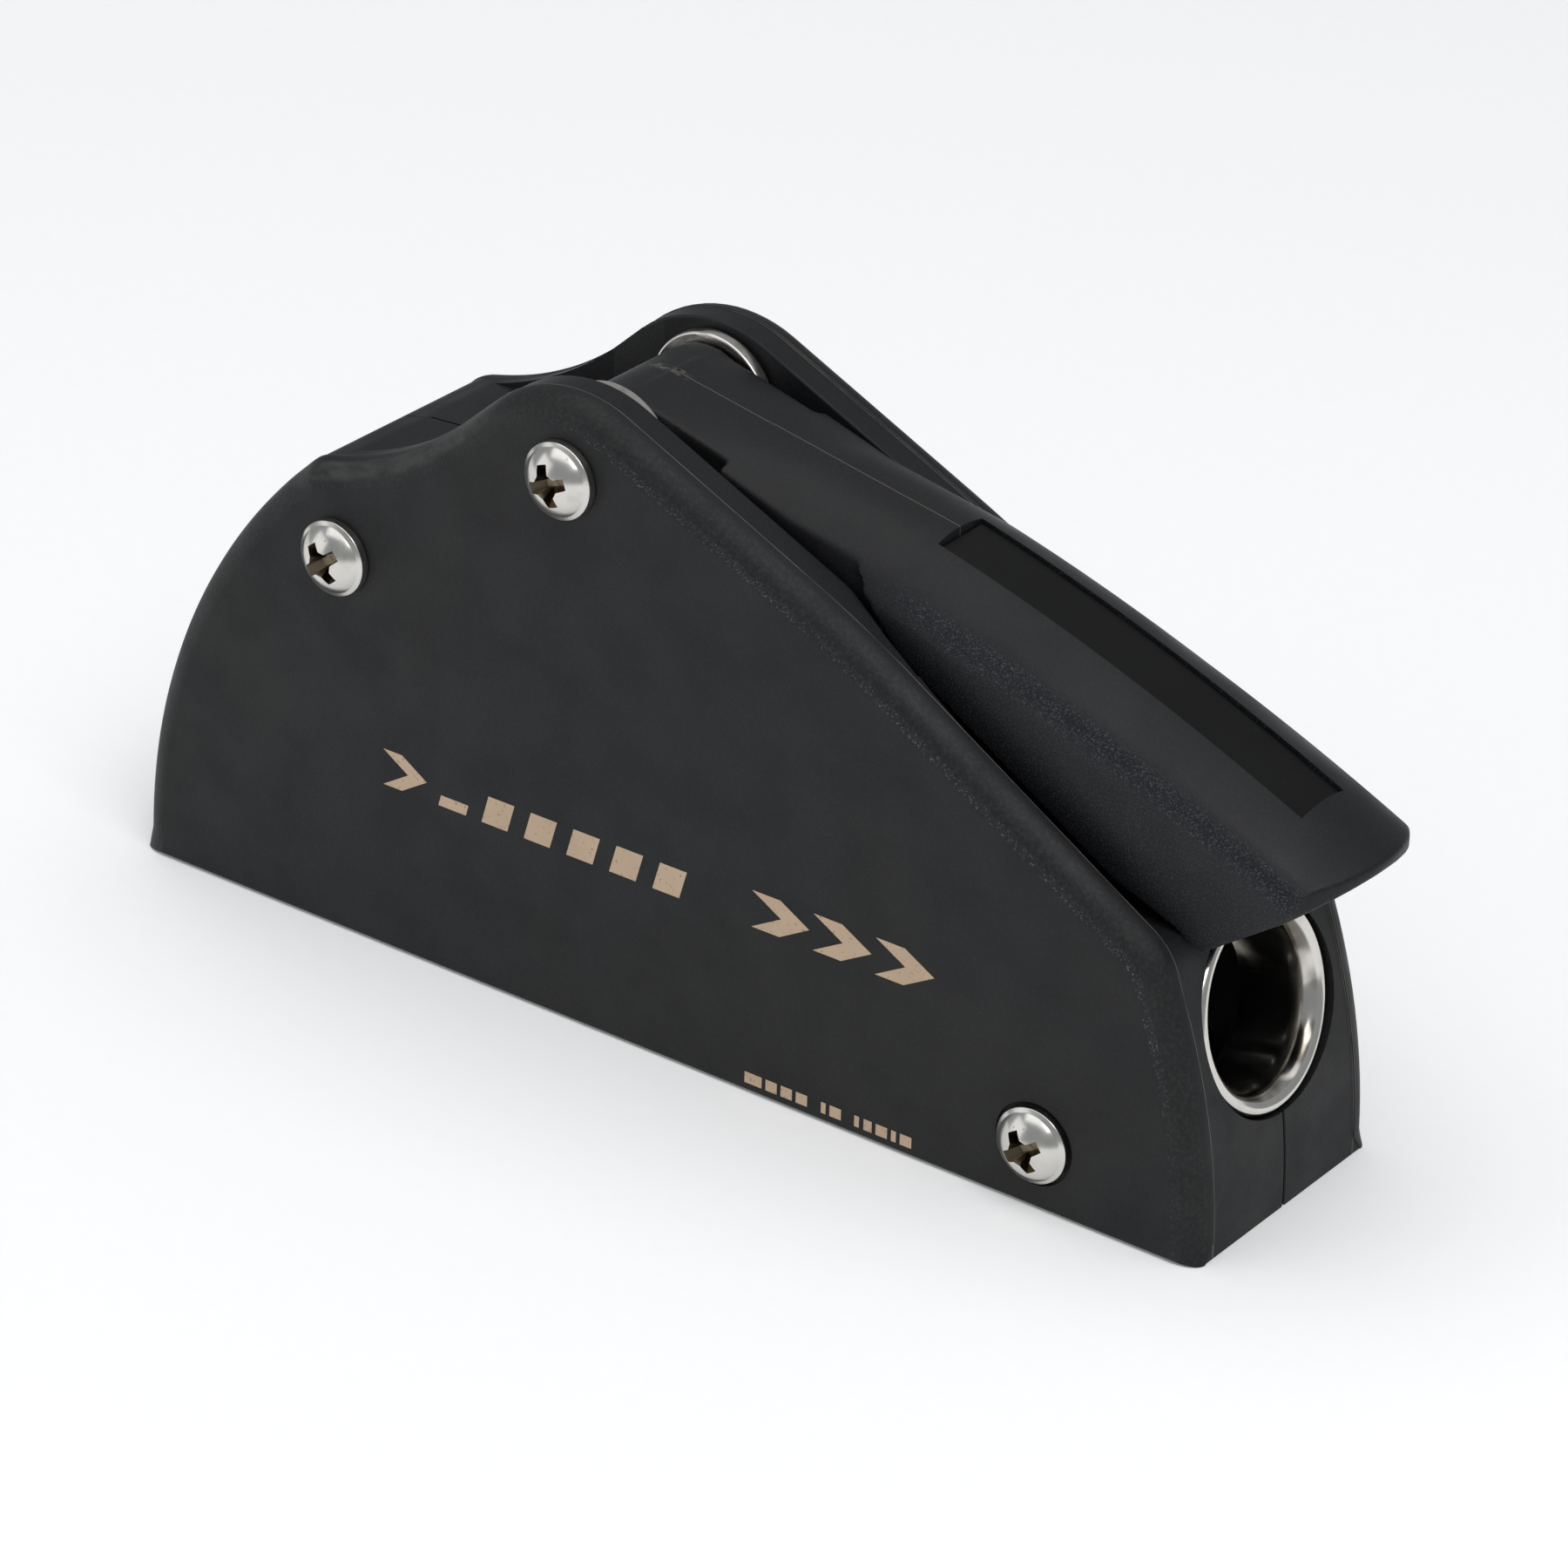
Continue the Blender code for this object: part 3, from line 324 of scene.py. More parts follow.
def solid_from(source, name):
    """A new mesh object, in frame coordinates, from an evaluated curve or modified mesh."""
    bpy.context.view_layer.update()
    graph = bpy.context.evaluated_depsgraph_get()
    mesh = bpy.data.meshes.new_from_object(source.evaluated_get(graph))
    mesh.transform(source.matrix_world)
    discard([source])
    thing = place(name, settle(mesh))
    mesh.name = name
    return thing


def plate(name, outline, y_low, y_high, edge=0.0):
    """An (x, z) outline filled and extruded from y_low to y_high, its rims rounded by edge."""
    flat = place_curve(name + "_outline", [(x, z, 0) for x, z in outline], '2D', closed=True)
    flat.data.fill_mode = 'BOTH'
    flat.data.extrude = (y_high - y_low) / 2 - edge
    flat.data.bevel_depth = edge
    flat.data.bevel_resolution = 3
    flat.data.offset = -edge
    upright = Matrix.Rotation(math.pi / 2, 4, 'X')
    flat.matrix_world = Matrix.Translation((0, (y_low + y_high) / 2, 0)) @ upright
    return solid_from(flat, name)


def turned(name, profile, pose, steps=64, closed=False):
    """A (radius, height) profile turned about the local Z axis of pose."""
    shape = bmesh.new()
    verts = [shape.verts.new((r, 0, h)) for r, h in profile]
    for first, second in zip(verts, verts[1:]):
        shape.edges.new((first, second))
    if closed:
        shape.edges.new((verts[-1], verts[0]))
    blank = place_shape(name + "_profile", shape)
    screw = blank.modifiers.new("turn", 'SCREW')
    screw.steps = steps
    screw.render_steps = steps
    screw.use_merge_vertices = True
    screw.merge_threshold = WELD
    blank.matrix_world = pose
    return solid_from(blank, name)


def along_y(x, z, y=0.0, side=1):
    """Pose whose local Z axis is +Y (side 1) or -Y (side -1)."""
    return Matrix.Translation((x, y, z)) @ Matrix.Rotation(-side * math.pi / 2, 4, 'X')


def cutter_rod(name, at, radius):
    """Round cutter along Y, longer than the object is wide."""
    profile = [(0, BEYOND), (radius, BEYOND), (radius, -BEYOND), (0, -BEYOND)]
    return turned(name, profile, along_y(*at))


def loft(name, stations):
    """Skin a row of closed sections; each station is a list of (x, y, z) of equal length."""
    shape = bmesh.new()
    rings = [[shape.verts.new(point) for point in ring] for ring in stations]
    count = len(rings[0])
    for first, second in zip(rings, rings[1:]):
        for i in range(count):
            j = (i + 1) % count
            shape.faces.new((first[i], first[j], second[j], second[i]))
    shape.faces.new(rings[0])
    shape.faces.new(list(reversed(rings[-1])))
    thing = place_shape(name, shape)
    settle(thing.data)
    return thing


def plan_prism(name, outline, z_low, z_high):
    """An (x, y) outline extruded along Z."""
    prism = plate(name, outline, -z_high, -z_low)
    prism.data.transform(Matrix.Rotation(-math.pi / 2, 4, 'X'))
    settle(prism.data)
    return prism


def carve(target, tools, operation='DIFFERENCE', keep=False):
    """The target after a row of boolean steps; the tools are used up unless kept."""
    for tool in tools:
        step = target.modifiers.new("carve", 'BOOLEAN')
        step.operation = operation
        step.solver = 'EXACT'
        step.object = tool
    result = solid_from(target, target.name)
    if not keep:
        discard(tools)
    return result


def finish_piece(thing, finish, body, node=None, sharp=28):
    """Shade a piece, crisp above the angle sharp, give it its material and body, and hide its CAD node."""
    mesh = thing.data
    mesh.materials.clear()
    mesh.materials.append(FINISHES[finish])
    mesh.shade_smooth()
    mesh.set_sharp_from_angle(angle=math.radians(sharp))
    weights = thing.modifiers.new("flat_faces", 'WEIGHTED_NORMAL')
    weights.keep_sharp = True
    weights.weight = 60
    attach(thing, body)
    if node:
        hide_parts(node)


# --- materials

class Finish:
    """A procedural material, kept in FINISHES under its name, and short ways to wire its nodes."""

    def __init__(self, name, colour, roughness, metallic=0.0, specular=0.5):
        self.material = bpy.data.materials.new(name)
        self.material.use_nodes = True
        self.material.diffuse_color = (*colour, 1)
        FINISHES[name] = self.material
        self.tree = self.material.node_tree
        self.shader = self.tree.nodes["Principled BSDF"]
        self.feed(self.shader, {"Base Color": (*colour, 1), "Roughness": roughness, "Metallic": metallic,
                                "Specular IOR Level": specular})
        self.where = self.tree.nodes.new("ShaderNodeTexCoord")
        self.colour = colour
        self.normal = None

    def feed(self, node, inputs):
        """Give a node's inputs plain values, or link them to other nodes' outputs."""
        for key, value in inputs.items():
            if isinstance(value, bpy.types.NodeSocket):
                self.tree.links.new(value, node.inputs[key])
            else:
                node.inputs[key].default_value = value

    def node(self, kind, inputs, **settings):
        made = self.tree.nodes.new("ShaderNode" + kind)
        for key, value in settings.items():
            setattr(made, key, value)
        self.feed(made, inputs)
        return made

    def spot(self, stretch=(1, 1, 1)):
        """Object coordinates, stretched along its axes."""
        inputs = {"Vector": self.where.outputs["Object"], "Scale": stretch}
        return self.node("Mapping", inputs).outputs["Vector"]

    def noise(self, size, detail=2.0, stretch=(1, 1, 1)):
        """Noise whose features are about size metres across."""
        inputs = {"Vector": self.spot(stretch), "Scale": 1 / size, "Detail": detail}
        return self.node("TexNoise", inputs).outputs["Fac"]

    def attribute(self, name):
        """A mesh attribute that the piece carries."""
        return self.node("Attribute", {}, attribute_name=name).outputs["Fac"]

    def axes(self):
        """Place along X, distance from the seam, height, and how far the surface faces sideways."""
        place = self.node("SeparateXYZ", {0: self.where.outputs["Object"]}).outputs
        facing = self.node("SeparateXYZ", {0: self.where.outputs["Normal"]}).outputs
        off_seam, sideways = (self.node("Math", {0: value}, operation='ABSOLUTE').outputs[0]
                              for value in (place[1], facing[1]))
        return place[0], off_seam, place[2], sideways

    def times(self, first, *others):
        for other in others:
            first = self.node("Math", {0: first, 1: other}, operation='MULTIPLY').outputs[0]
        return first

    def span(self, source, low, high, out_low=0.0, out_high=1.0):
        """Smooth step of a value between low and high."""
        inputs = {"Value": source, "From Min": low, "From Max": high, "To Min": out_low, "To Max": out_high}
        return self.node("MapRange", inputs, interpolation_type='SMOOTHSTEP').outputs["Result"]

    def band(self, source, low, high, soft, soft_above=None):
        """1 between low and high, fading to 0 within soft on both sides."""
        rise = self.span(source, low - soft, low)
        fall = self.span(source, high, high + (soft_above or soft), 1.0, 0.0)
        return self.times(rise, fall)

    def tint(self, factor, colour):
        """Turn the colour so far into another one where factor is 1."""
        start = (*self.colour, 1) if isinstance(self.colour, tuple) else self.colour
        mix = self.node("Mix", {"Factor": factor}, data_type='RGBA')
        self.feed(mix, {6: start, 7: (*colour, 1)})
        self.colour = mix.outputs[2]
        self.feed(self.shader, {"Base Color": self.colour})

    def scuffs_and_glints(self, mask, colour, size, low, high):
        """Pale flecks where a mask is set: worn scuffs, and painted glints and sheen where the mask is a
        band of facing.
        """
        self.tint(self.times(self.span(self.noise(size, 1.5), low, high), mask), colour)

    def rough(self, value):
        self.feed(self.shader, {"Roughness": value})

    def bump(self, height, depth, strength):
        """Raise the surface by depth metres where height is 1; calls add up."""
        step = self.node("Bump", {"Height": height, "Distance": depth, "Strength": strength})
        if self.normal:
            self.feed(step, {"Normal": self.normal})
        self.normal = step.outputs["Normal"]
        self.feed(self.shader, {"Normal": self.normal})


def moulded(name, tone, warm_tone, roughness):
    """Grained black composite: fine spark-eroded grain, faint mottling and soft sheen changes."""
    look = Finish(name, tone, roughness, specular=0.27)
    grain = look.noise(0.33 * MM, 2)
    look.tint(look.span(look.noise(40 * MM, 2), 0.35, 0.7), warm_tone)
    look.tint(look.span(grain, 0.45, 0.8, 0.0, 0.6), tuple(2.2 * c for c in tone))
    look.rough(look.span(look.noise(9 * MM, 4), 0.3, 0.75, roughness - 0.07, roughness + 0.08))
    look.bump(grain, 0.035 * MM, 0.8)
    return look


def shell_finish():
    """The shell's composite: worn specks and painted glints along the wall's edge, a painted sheen on its
    rounding, a painted highlight streak in the saddle and a worn line on the crease.
    """
    look = moulded("shell_composite", (0.0072, 0.0078, 0.0092), (0.0092, 0.0093, 0.0094), 0.55)
    along, off_seam, height, facing = look.axes()
    outside = look.span(off_seam, CREASE_HALF_WIDTH, CREASE_HALF_WIDTH + 1 * MM)
    on_slope = look.span(along, AXLE[0] - 4 * MM, AXLE[0] + 10 * MM, 0.12, 1.0)
    above = look.span(height, 12 * MM, 30 * MM, 0.25, 1.0)
    # Pale flecks low on the edge's rounding along the slope: partly worn specks, partly painted glints where
    # that band faces the light.
    specks_and_glints = look.times(look.band(facing, 0.955, 0.990, 0.05, 0.009), outside, above, on_slope)
    look.scuffs_and_glints(specks_and_glints, (0.10, 0.108, 0.125), 0.26 * MM, 0.52, 0.78)
    # Painted sheen: the rounded outer edge is tinted lighter grey where it faces up towards the light.
    haze_and_sheen = look.times(look.band(facing, 0.35, 0.96, 0.1, 0.03), outside)
    look.scuffs_and_glints(haze_and_sheen, (0.019, 0.019, 0.019), 0.5 * MM, 0.40, 0.78)
    # Painted highlight: lighter grey streaks on the upward-facing rounding in the saddle stand in for its
    # reflection of the light.
    saddle = look.band(along, SADDLE_START[0], SADDLE_END[0], 8 * MM)
    high = look.span(height, 55 * MM, 62 * MM)
    sheen_streaks = look.span(look.noise(1.6 * MM, 4, stretch=(0.3, 1, 1)), 0.3, 0.7, 0.15, 0.8)
    upward = look.band(facing, 0.45, 0.80, 0.15)
    look.tint(look.times(upward, saddle, high, sheen_streaks), (0.050, 0.050, 0.049))
    crease = look.band(off_seam, CREASE_HALF_WIDTH - 0.16 * MM, CREASE_HALF_WIDTH + 0.05 * MM, 0.05 * MM)
    on_edge = look.span(facing, 0.5, 0.9, 1.0, 0.0)
    broken = look.span(look.noise(7 * MM, 5), 0.3, 0.6, 0.25, 1.0)
    look.tint(look.times(crease, on_edge, broken), (0.14, 0.128, 0.11))


def handle_finish():
    """The handle's composite, with painted glints flecked on the shoulders and a mould line along its back.
    """
    look = moulded("handle_composite", (0.0074, 0.0078, 0.0090), (0.0092, 0.0092, 0.0092), 0.48)
    along, off_seam, height, facing = look.axes()
    # Painted glints: pale flecks where the grip's shoulders face the light.
    shoulder = look.band(facing, 0.80, 0.97, 0.14, 0.06)
    grip_only = look.span(along, GRIP_STEP_X, GRIP_STEP_X + 14 * MM)
    look.scuffs_and_glints(look.times(shoulder, grip_only), (0.060, 0.064, 0.080), 0.24 * MM, 0.47, 0.80)
    flash = look.band(off_seam, -1 * MM, 0.05 * MM, 0.05 * MM)
    before_label = look.band(along, AXLE[0] - 2 * MM, LABEL_X[0] - 0.4 * MM, 0.4 * MM)
    line = look.times(flash, before_label, look.span(height, 60 * MM, 70 * MM))
    look.tint(line, (0.105, 0.098, 0.085))
    over_hub = look.band(along, AXLE[0] - 1 * MM, AXLE[0] + 3 * MM, 1.5 * MM)
    central = look.band(off_seam, -1 * MM, 0.5 * MM, 0.5 * MM)
    hub_top = look.span(height, AXLE[1] + 5 * MM, AXLE[1] + 7 * MM)
    look.scuffs_and_glints(look.times(over_hub, central, hub_top), (0.085, 0.080, 0.072), 0.7 * MM, 0.38, 0.66)
    look.bump(line, 0.08 * MM, 0.8)


def label_finish():
    """Smooth dark film with faint waves and a few hair scratches."""
    look = Finish("label_film", (0.0050, 0.0049, 0.0046), 0.34, specular=0.16)
    look.rough(look.span(look.noise(6 * MM, 3), 0.3, 0.7, 0.24, 0.40))
    hairs = look.noise(0.9 * MM, 2, stretch=(0.06, 1, 1))
    look.tint(look.span(hairs, 0.70, 0.78), (0.015, 0.015, 0.015))
    look.bump(look.noise(14 * MM, 1), 0.05 * MM, 0.3)


def print_finish():
    """Thin tan ink that shows the grain of the wall below and has worn specks."""
    look = Finish("tan_print", (0.53, 0.395, 0.275), 0.6, specular=0.3)
    look.tint(look.span(look.noise(6 * MM, 3), 0.35, 0.7, 0.0, 0.35), (0.43, 0.31, 0.21))
    look.tint(look.span(look.noise(0.45 * MM, 2), 0.60, 0.74, 0.0, 0.75), (0.20, 0.15, 0.11))
    look.bump(look.noise(0.33 * MM, 2), 0.03 * MM, 0.5)


def steel_finish(name, colour, roughness, spread, stain, stretch=(1, 1, 1), pits=0.0, grime_and_shade=False,
                 dark_reflection_band=None):
    """Bare steel with fine polishing lines, patchy gloss and a brownish film in places; where asked, also a
    painted dark reflection band at set distances from the axis, and brownish dirt with painted shade on the
    marked recess faces.
    """
    look = Finish(name, colour, roughness, metallic=1.0)
    look.rough(look.span(look.noise(3.5 * MM, 4), 0.3, 0.75, roughness - spread, roughness + spread))
    look.tint(look.span(look.noise(2.2 * MM, 4), 0.52, 0.78, 0.0, stain), (0.30, 0.235, 0.165))
    if pits:
        cells = look.node("TexVoronoi", {"Vector": look.spot(), "Scale": 1 / (1.6 * MM)})
        look.tint(look.span(cells.outputs["Distance"], 0.05, 0.14, pits, 0.0), (0.10, 0.085, 0.065))
    # Painted reflection: a broken dark brownish band at set distances from the ring's axis stands in for the
    # dark reflection across the polished lip.
    if dark_reflection_band:
        ring = look.band(look.attribute("from_axis"), *dark_reflection_band, 0.3 * MM)
        broken = look.span(look.noise(6 * MM, 2), 0.38, 0.62, 0.1, 0.85)
        look.tint(look.times(ring, broken), (0.10, 0.08, 0.06))
    # Dirt and painted shade: the flagged faces inside the cross recess turn dark brown, standing in both for
    # brownish dirt and for the shade in the recess.
    if grime_and_shade:
        look.tint(look.attribute("grime_and_shade"), (0.16, 0.13, 0.09))
    look.bump(look.noise(0.35 * MM, 3, stretch), 0.006 * MM, 0.35)


def polymer_finish(name, colour, roughness):
    """Turned or moulded polymer with faint swirls."""
    look = Finish(name, colour, roughness)
    look.tint(look.span(look.noise(1.2 * MM, 3), 0.35, 0.7), tuple(0.8 * c for c in colour))
    look.bump(look.noise(0.3 * MM, 2), 0.01 * MM, 0.4)


def floor_finish():
    """Matt pale paper."""
    look = Finish("pale_floor", (0.97, 0.97, 0.97), 0.9, specular=0.1)
    look.feed(look.shader, {"Emission Color": (1, 1, 1, 1), "Emission Strength": 0.10})
    look.tint(look.span(look.noise(2 * MM, 3), 0.3, 0.7), (0.955, 0.955, 0.955))
    look.bump(look.noise(0.8 * MM, 2), 0.02 * MM, 0.2)


shell_finish()
handle_finish()
label_finish()
print_finish()
# Screw heads: their recess faces are painted dark brown, partly dirt and partly painted shade.
steel_finish("polished_steel", (0.66, 0.645, 0.61), 0.24, 0.03, 0.22, pits=0.3, grime_and_shade=True)
# The rings get a painted dark reflection band between 10.5 and 11.3 mm from their axis.
steel_finish("ring_steel", (0.66, 0.64, 0.60), 0.17, 0.03, 0.18, dark_reflection_band=mm(10.5, 11.3))
steel_finish("machined_steel", (0.66, 0.635, 0.59), 0.24, 0.07, 0.55, stretch=(1, 0.12, 1))
steel_finish("spring_steel", (0.42, 0.41, 0.40), 0.30, 0.08, 0.3)
steel_finish("cast_steel", (0.40, 0.385, 0.36), 0.42, 0.08, 0.4, pits=0.6)
polymer_finish("acetal", (0.70, 0.68, 0.62), 0.42)
steel_finish("bush_bronze", (0.60, 0.42, 0.22), 0.34, 0.06, 0.5)
floor_finish()


# --- shell

def body_outline():
    """Side outline: arched rear, saddle, hub crest, long slope and curved nose."""
    front_centre = (FRONT_X - FRONT_ARC_RADIUS, 0.0)
    rear = arc(REAR_ARC_CENTRE, REAR_ARC_RADIUS, 180, REAR_ARC_END, 36)
    front = arc(front_centre, FRONT_ARC_RADIUS, FRONT_ARC_START, 0, 14)
    corners = [(REAR_X, 0, 0)] + [(x, z, 0) for x, z in rear[1:]]
    corners += [mm(-54.3, 63.5, 5), mm(-39.7, 67.2, 49), mm(-17.3, 87.3, 18), mm(28.8, 66.1, 150)]
    corners += [mm(73.7, 38.9, 9)] + [(x, z, 0) for x, z in front]
    return rounded(corners, 14)


def cavity_outline():
    """Space for the cam and the rope, below the top of the front wall."""
    rear = arc(REAR_ARC_CENTRE, REAR_ARC_RADIUS - REAR_WALL, 177, REAR_ARC_END + 2, 24)
    roof_underside = [mm(-50, 60.5), mm(-31, 61.8)]
    nose = [(-31 * MM, FRONT_WALL_TOP), (63 * MM, FRONT_WALL_TOP), (70 * MM, FLOOR_TOP)]
    return [(rear[0][0], FLOOR_TOP)] + rear[1:] + roof_underside + nose


def inner_edge_cutter():
    """Rounds the inner edges of both walls along the top opening, from behind the hub to the grip."""
    outline = body_outline()
    first_x, last_x, fade, inside, outside = mm(-29, 42, 4, 0.5, 2)
    stations = []
    for i in [i for i, (x, z) in enumerate(outline) if first_x <= x <= last_x and z > FRONT_WALL_TOP]:
        here = Vector(outline[i])
        run = (Vector(outline[i + 1]) - Vector(outline[i - 1])).normalized()
        up = Vector((-run.y, run.x))
        half = float(np.interp(here.x, *zip(*TOP_OPENING)))
        share = min(1.0, (here.x - first_x) / fade + 0.05, (last_x - here.x) / fade + 0.05)
        radius = min(INNER_EDGE_RADIUS, (CREASE_HALF_WIDTH - half) * 0.4) * share
        surface = -CREASE_LIP
        right = [(half - inside, surface - radius)]
        for angle in (178, 160, 142, 124, 106, 86):
            right.append(polar((half + radius, surface - radius), radius, math.radians(angle)))
        right += [(half + 1.5 * radius, surface + radius), (half - inside, surface + outside)]
        section = right + [(-y, lift) for y, lift in reversed(right)]
        stations.append([(here.x + up.x * lift, y, here.y + up.y * lift) for y, lift in section])
    return loft("inner_edges", stations)


def shell_cutters():
    """Everything that is hollowed out of both half shells."""
    saddle = [SADDLE_START, SADDLE_END, (SADDLE_END[0], ABOVE), (SADDLE_START[0], ABOVE)]
    pocket = [(-66, 8), (-64, 30), (-56, 42), (38, 42), (60, 26), (60, 18), (50, 16), (50, 8)]
    pocket = [mm(*point) for point in pocket]
    opening = TOP_OPENING + [(x, -y) for x, y in reversed(TOP_OPENING)]
    tools = [
        plate("cavity", cavity_outline(), -CAVITY_HALF_WIDTH, CAVITY_HALF_WIDTH),
        plan_prism("top_opening", opening, FRONT_WALL_TOP, ABOVE),
        plate("saddle_recess", saddle, -CAVITY_HALF_WIDTH, CAVITY_HALF_WIDTH),
        plate("wall_pocket", pocket, -POCKET_HALF_WIDTH, POCKET_HALF_WIDTH),
        inner_edge_cutter(),
    ]
    for label, at in (("axle", AXLE), ("rear", REAR_SCREW), ("front", FRONT_SCREW)):
        tools.append(screw_passage(label + "_screw_hole", at))
    for label, lead in (("front", FRONT_FAIRLEAD), ("rear", REAR_FAIRLEAD)):
        tools.append(fairlead_seat(label, lead))
    for node in INSERT_NODES:
        tools.append(insert_pocket(node, middle_of(node)[0]))
    return tools


def screw_passage(name, at):
    """Screw holes in both walls, the wider seat of the sleeve between them, and the front spot faces."""
    seat = SLEEVE_HALF_LENGTH + GAP
    wide = SLEEVE_RADIUS + GAP
    half = [(0, BEYOND), (CLEAR_RADIUS, BEYOND)]
    if at is FRONT_SCREW:
        spot_face = HALF_WIDTH - SPOT_FACE_DEPTH
        half[1:] = [(SPOT_FACE_RADIUS, BEYOND), (SPOT_FACE_RADIUS, spot_face), (CLEAR_RADIUS, spot_face)]
    half += [(CLEAR_RADIUS, seat), (wide, seat)]
    profile = half + [(radius, -y) for radius, y in reversed(half)]
    return turned(name, profile, along_y(*at))


def lead_pose(lead):
    """Pose at a fairlead's centre with local Z along its bore, pointing out of the body."""
    (x, z), lean, facing = lead
    outward = Vector((facing * math.cos(lean), 0, math.sin(lean)))
    return Matrix.Translation((x, 0, z)) @ outward.to_track_quat('Z', 'Y').to_matrix().to_4x4()


def fairlead_seat(label, lead):
    flange, hole = FAIRLEAD_RADIUS + GAP, FAIRLEAD_TUBE + GAP
    outside, seat, deep = 12 * MM, FLANGE_BACK - GAP, -30 * MM
    profile = [(0, outside), (flange, outside), (flange, seat), (hole, seat), (hole, deep), (0, deep)]
    return turned(label + "_fairlead_seat", profile, lead_pose(lead), 128)


def insert_pocket(node, x):
    """Hexagonal pocket in the floor with a round hole above it."""
    hexagon = (INSERT_FLATS / 2 + GAP) / math.cos(math.pi / 6)
    hole = INSERT_BOSS_RADIUS + GAP
    steps = ((hexagon, INSERT_FLANGE + GAP, -5 * MM, 6), (hole, BEYOND, -1 * MM, 48))
    pockets = [turned(node + "_pocket", [(0, top), (radius, top), (radius, low), (0, low)],
                      Matrix.Translation((x, 0, 0)), sides) for radius, top, low, sides in steps]
    return carve(pockets[0], pockets[1:], 'UNION')


def by_side(upper, base):
    """A distance for each side of the outline: one for the base, another for all the rest."""
    return lambda start, end: upper if max(start[1], end[1]) > 0.1 * MM else base


def moved_in(outline, distance, share):
    """Each point of a clockwise outline moved inwards by a share of its sides' distances."""
    points = [Vector(point) for point in outline]
    inner = []
    for i, here in enumerate(points):
        back, ahead = points[i - 1], points[(i + 1) % len(points)]
        first = (here - back).normalized()
        second = (ahead - here).normalized()
        step_1 = distance(back, here) * share
        step_2 = distance(here, ahead) * share
        turn = first.x * second.y - first.y * second.x
        if abs(turn) > 0.5:
            shift = (first * step_2 - second * step_1) / turn
        else:
            normal = Vector((first.y + second.y, -first.x - second.x)).normalized()
            shift = normal * (step_1 + step_2) / 2
        inner.append(here + shift)
    return inner


def half_shell(name, side, tools):
    """One moulding from the seam to the outer wall, with its outer edge rounded from a small lip."""
    outline = body_outline()
    count = len(outline)
    edge_radius = by_side(EDGE_RADIUS, BASE_EDGE_RADIUS)
    sides = [edge_radius(outline[i - 1], here) for i, here in enumerate(outline)]
    radii = [(sides[i] + sides[(i + 1) % count]) / 2 for i in range(count)]
    seam = side * GAP / 2
    chamfered = moved_in(outline, by_side(CREASE_LIP + SEAM_CHAMFER, SEAM_CHAMFER), 1)
    strip = moved_in(outline, by_side(CREASE_LIP, 0.0), 1)
    levels = [(chamfered, [seam] * count), (strip, [seam + side * SEAM_CHAMFER] * count),
              (strip, [side * (HALF_WIDTH - radius - 0.5 * CREASE_LIP) for radius in radii])]
    for k in range(EDGE_STEPS + 1):
        angle = math.pi / 2 * k / EDGE_STEPS
        ring = moved_in(outline, edge_radius, 1 - math.cos(angle))
        levels.append((ring, [side * (HALF_WIDTH - radius * (1 - math.sin(angle))) for radius in radii]))
    stations = [[(p.x, y, p.y) for p, y in zip(points, depths)] for points, depths in levels]
    shell = carve(loft(name, stations), tools, keep=True)
    finish_piece(shell, "shell_composite", "body", name)


def mark_outlines():
    """Plain rope-direction marks as (x, z) outlines: a row of chevrons and slanted bars, and small ticks."""
    top, low, half = ROW_BASE + ROW_HEIGHT, ROW_BASE, ROW_HEIGHT / 2

    def chevron(x, width, stroke):
        tip = x + width
        return [(x, top), (x + stroke, top), (tip, low + half), (x + stroke, low), (x, low),
                (tip - stroke, low + half)]

    def bar(x, width, height, slant, base):
        return [(x, base), (x + width, base), (x + width + slant, base + height), (x + slant, base + height)]

    marks = [chevron(*mm(-41.3, 7, 3)), bar(*mm(-32.4, 4.4, 1.5, 0.4), low)]
    marks += [bar(*mm(x, 4.1, 3.9, 1.1), low) for x in (-25.5, -18.8, -12.1, -5.4, 1.3)]
    marks += [chevron(*mm(x, 8.6, 4.2)) for x in (16.4, 25.6, 34.8)]
    ticks = ((16.0, 2.6), (19.2, 1.7), (21.5, 1.7), (23.8, 1.7), (27.6, 0.7), (28.9, 1.7), (32.6, 0.7),
             (34.0, 1.2), (35.8, 1.7), (38.1, 0.7), (39.4, 1.7))
    marks += [bar(*mm(x, width), TICK_HEIGHT, 0.0, TICK_BASE) for x, width in ticks]
    return marks


def printed_marks():
    """One thin film on the near wall that carries every mark."""
    shape = bmesh.new()
    for outline in mark_outlines():
        part = plate("mark", outline, -HALF_WIDTH - PRINT_THICKNESS, -HALF_WIDTH + PRINT_THICKNESS)
        shape.from_mesh(part.data)
        discard([part])
    finish_piece(place_shape("flow_marks", shape), "tan_print", "body")


# --- fixed metal pieces

def fairlead(name, lead):
    """Polished ring: flange, trumpet lip and the tube that lines the hole."""
    bore_start, tube_end = mm(-2.2, -9)
    profile = [(FAIRLEAD_RADIUS, FLANGE_BACK)] + trumpet_lip()
    profile += [(FAIRLEAD_BORE, bore_start), (FAIRLEAD_BORE, tube_end), (FAIRLEAD_TUBE, tube_end),
                (FAIRLEAD_TUBE, FLANGE_BACK)]
    ring = turned(name, profile, lead_pose(lead), 128, closed=True)
    from_axis = ring.data.attributes.new("from_axis", 'FLOAT', 'POINT')
    unpose = lead_pose(lead).inverted()
    for vert in ring.data.vertices:
        from_axis.data[vert.index].value = (unpose @ vert.co).to_2d().length
    finish_piece(ring, "ring_steel", "body", name)


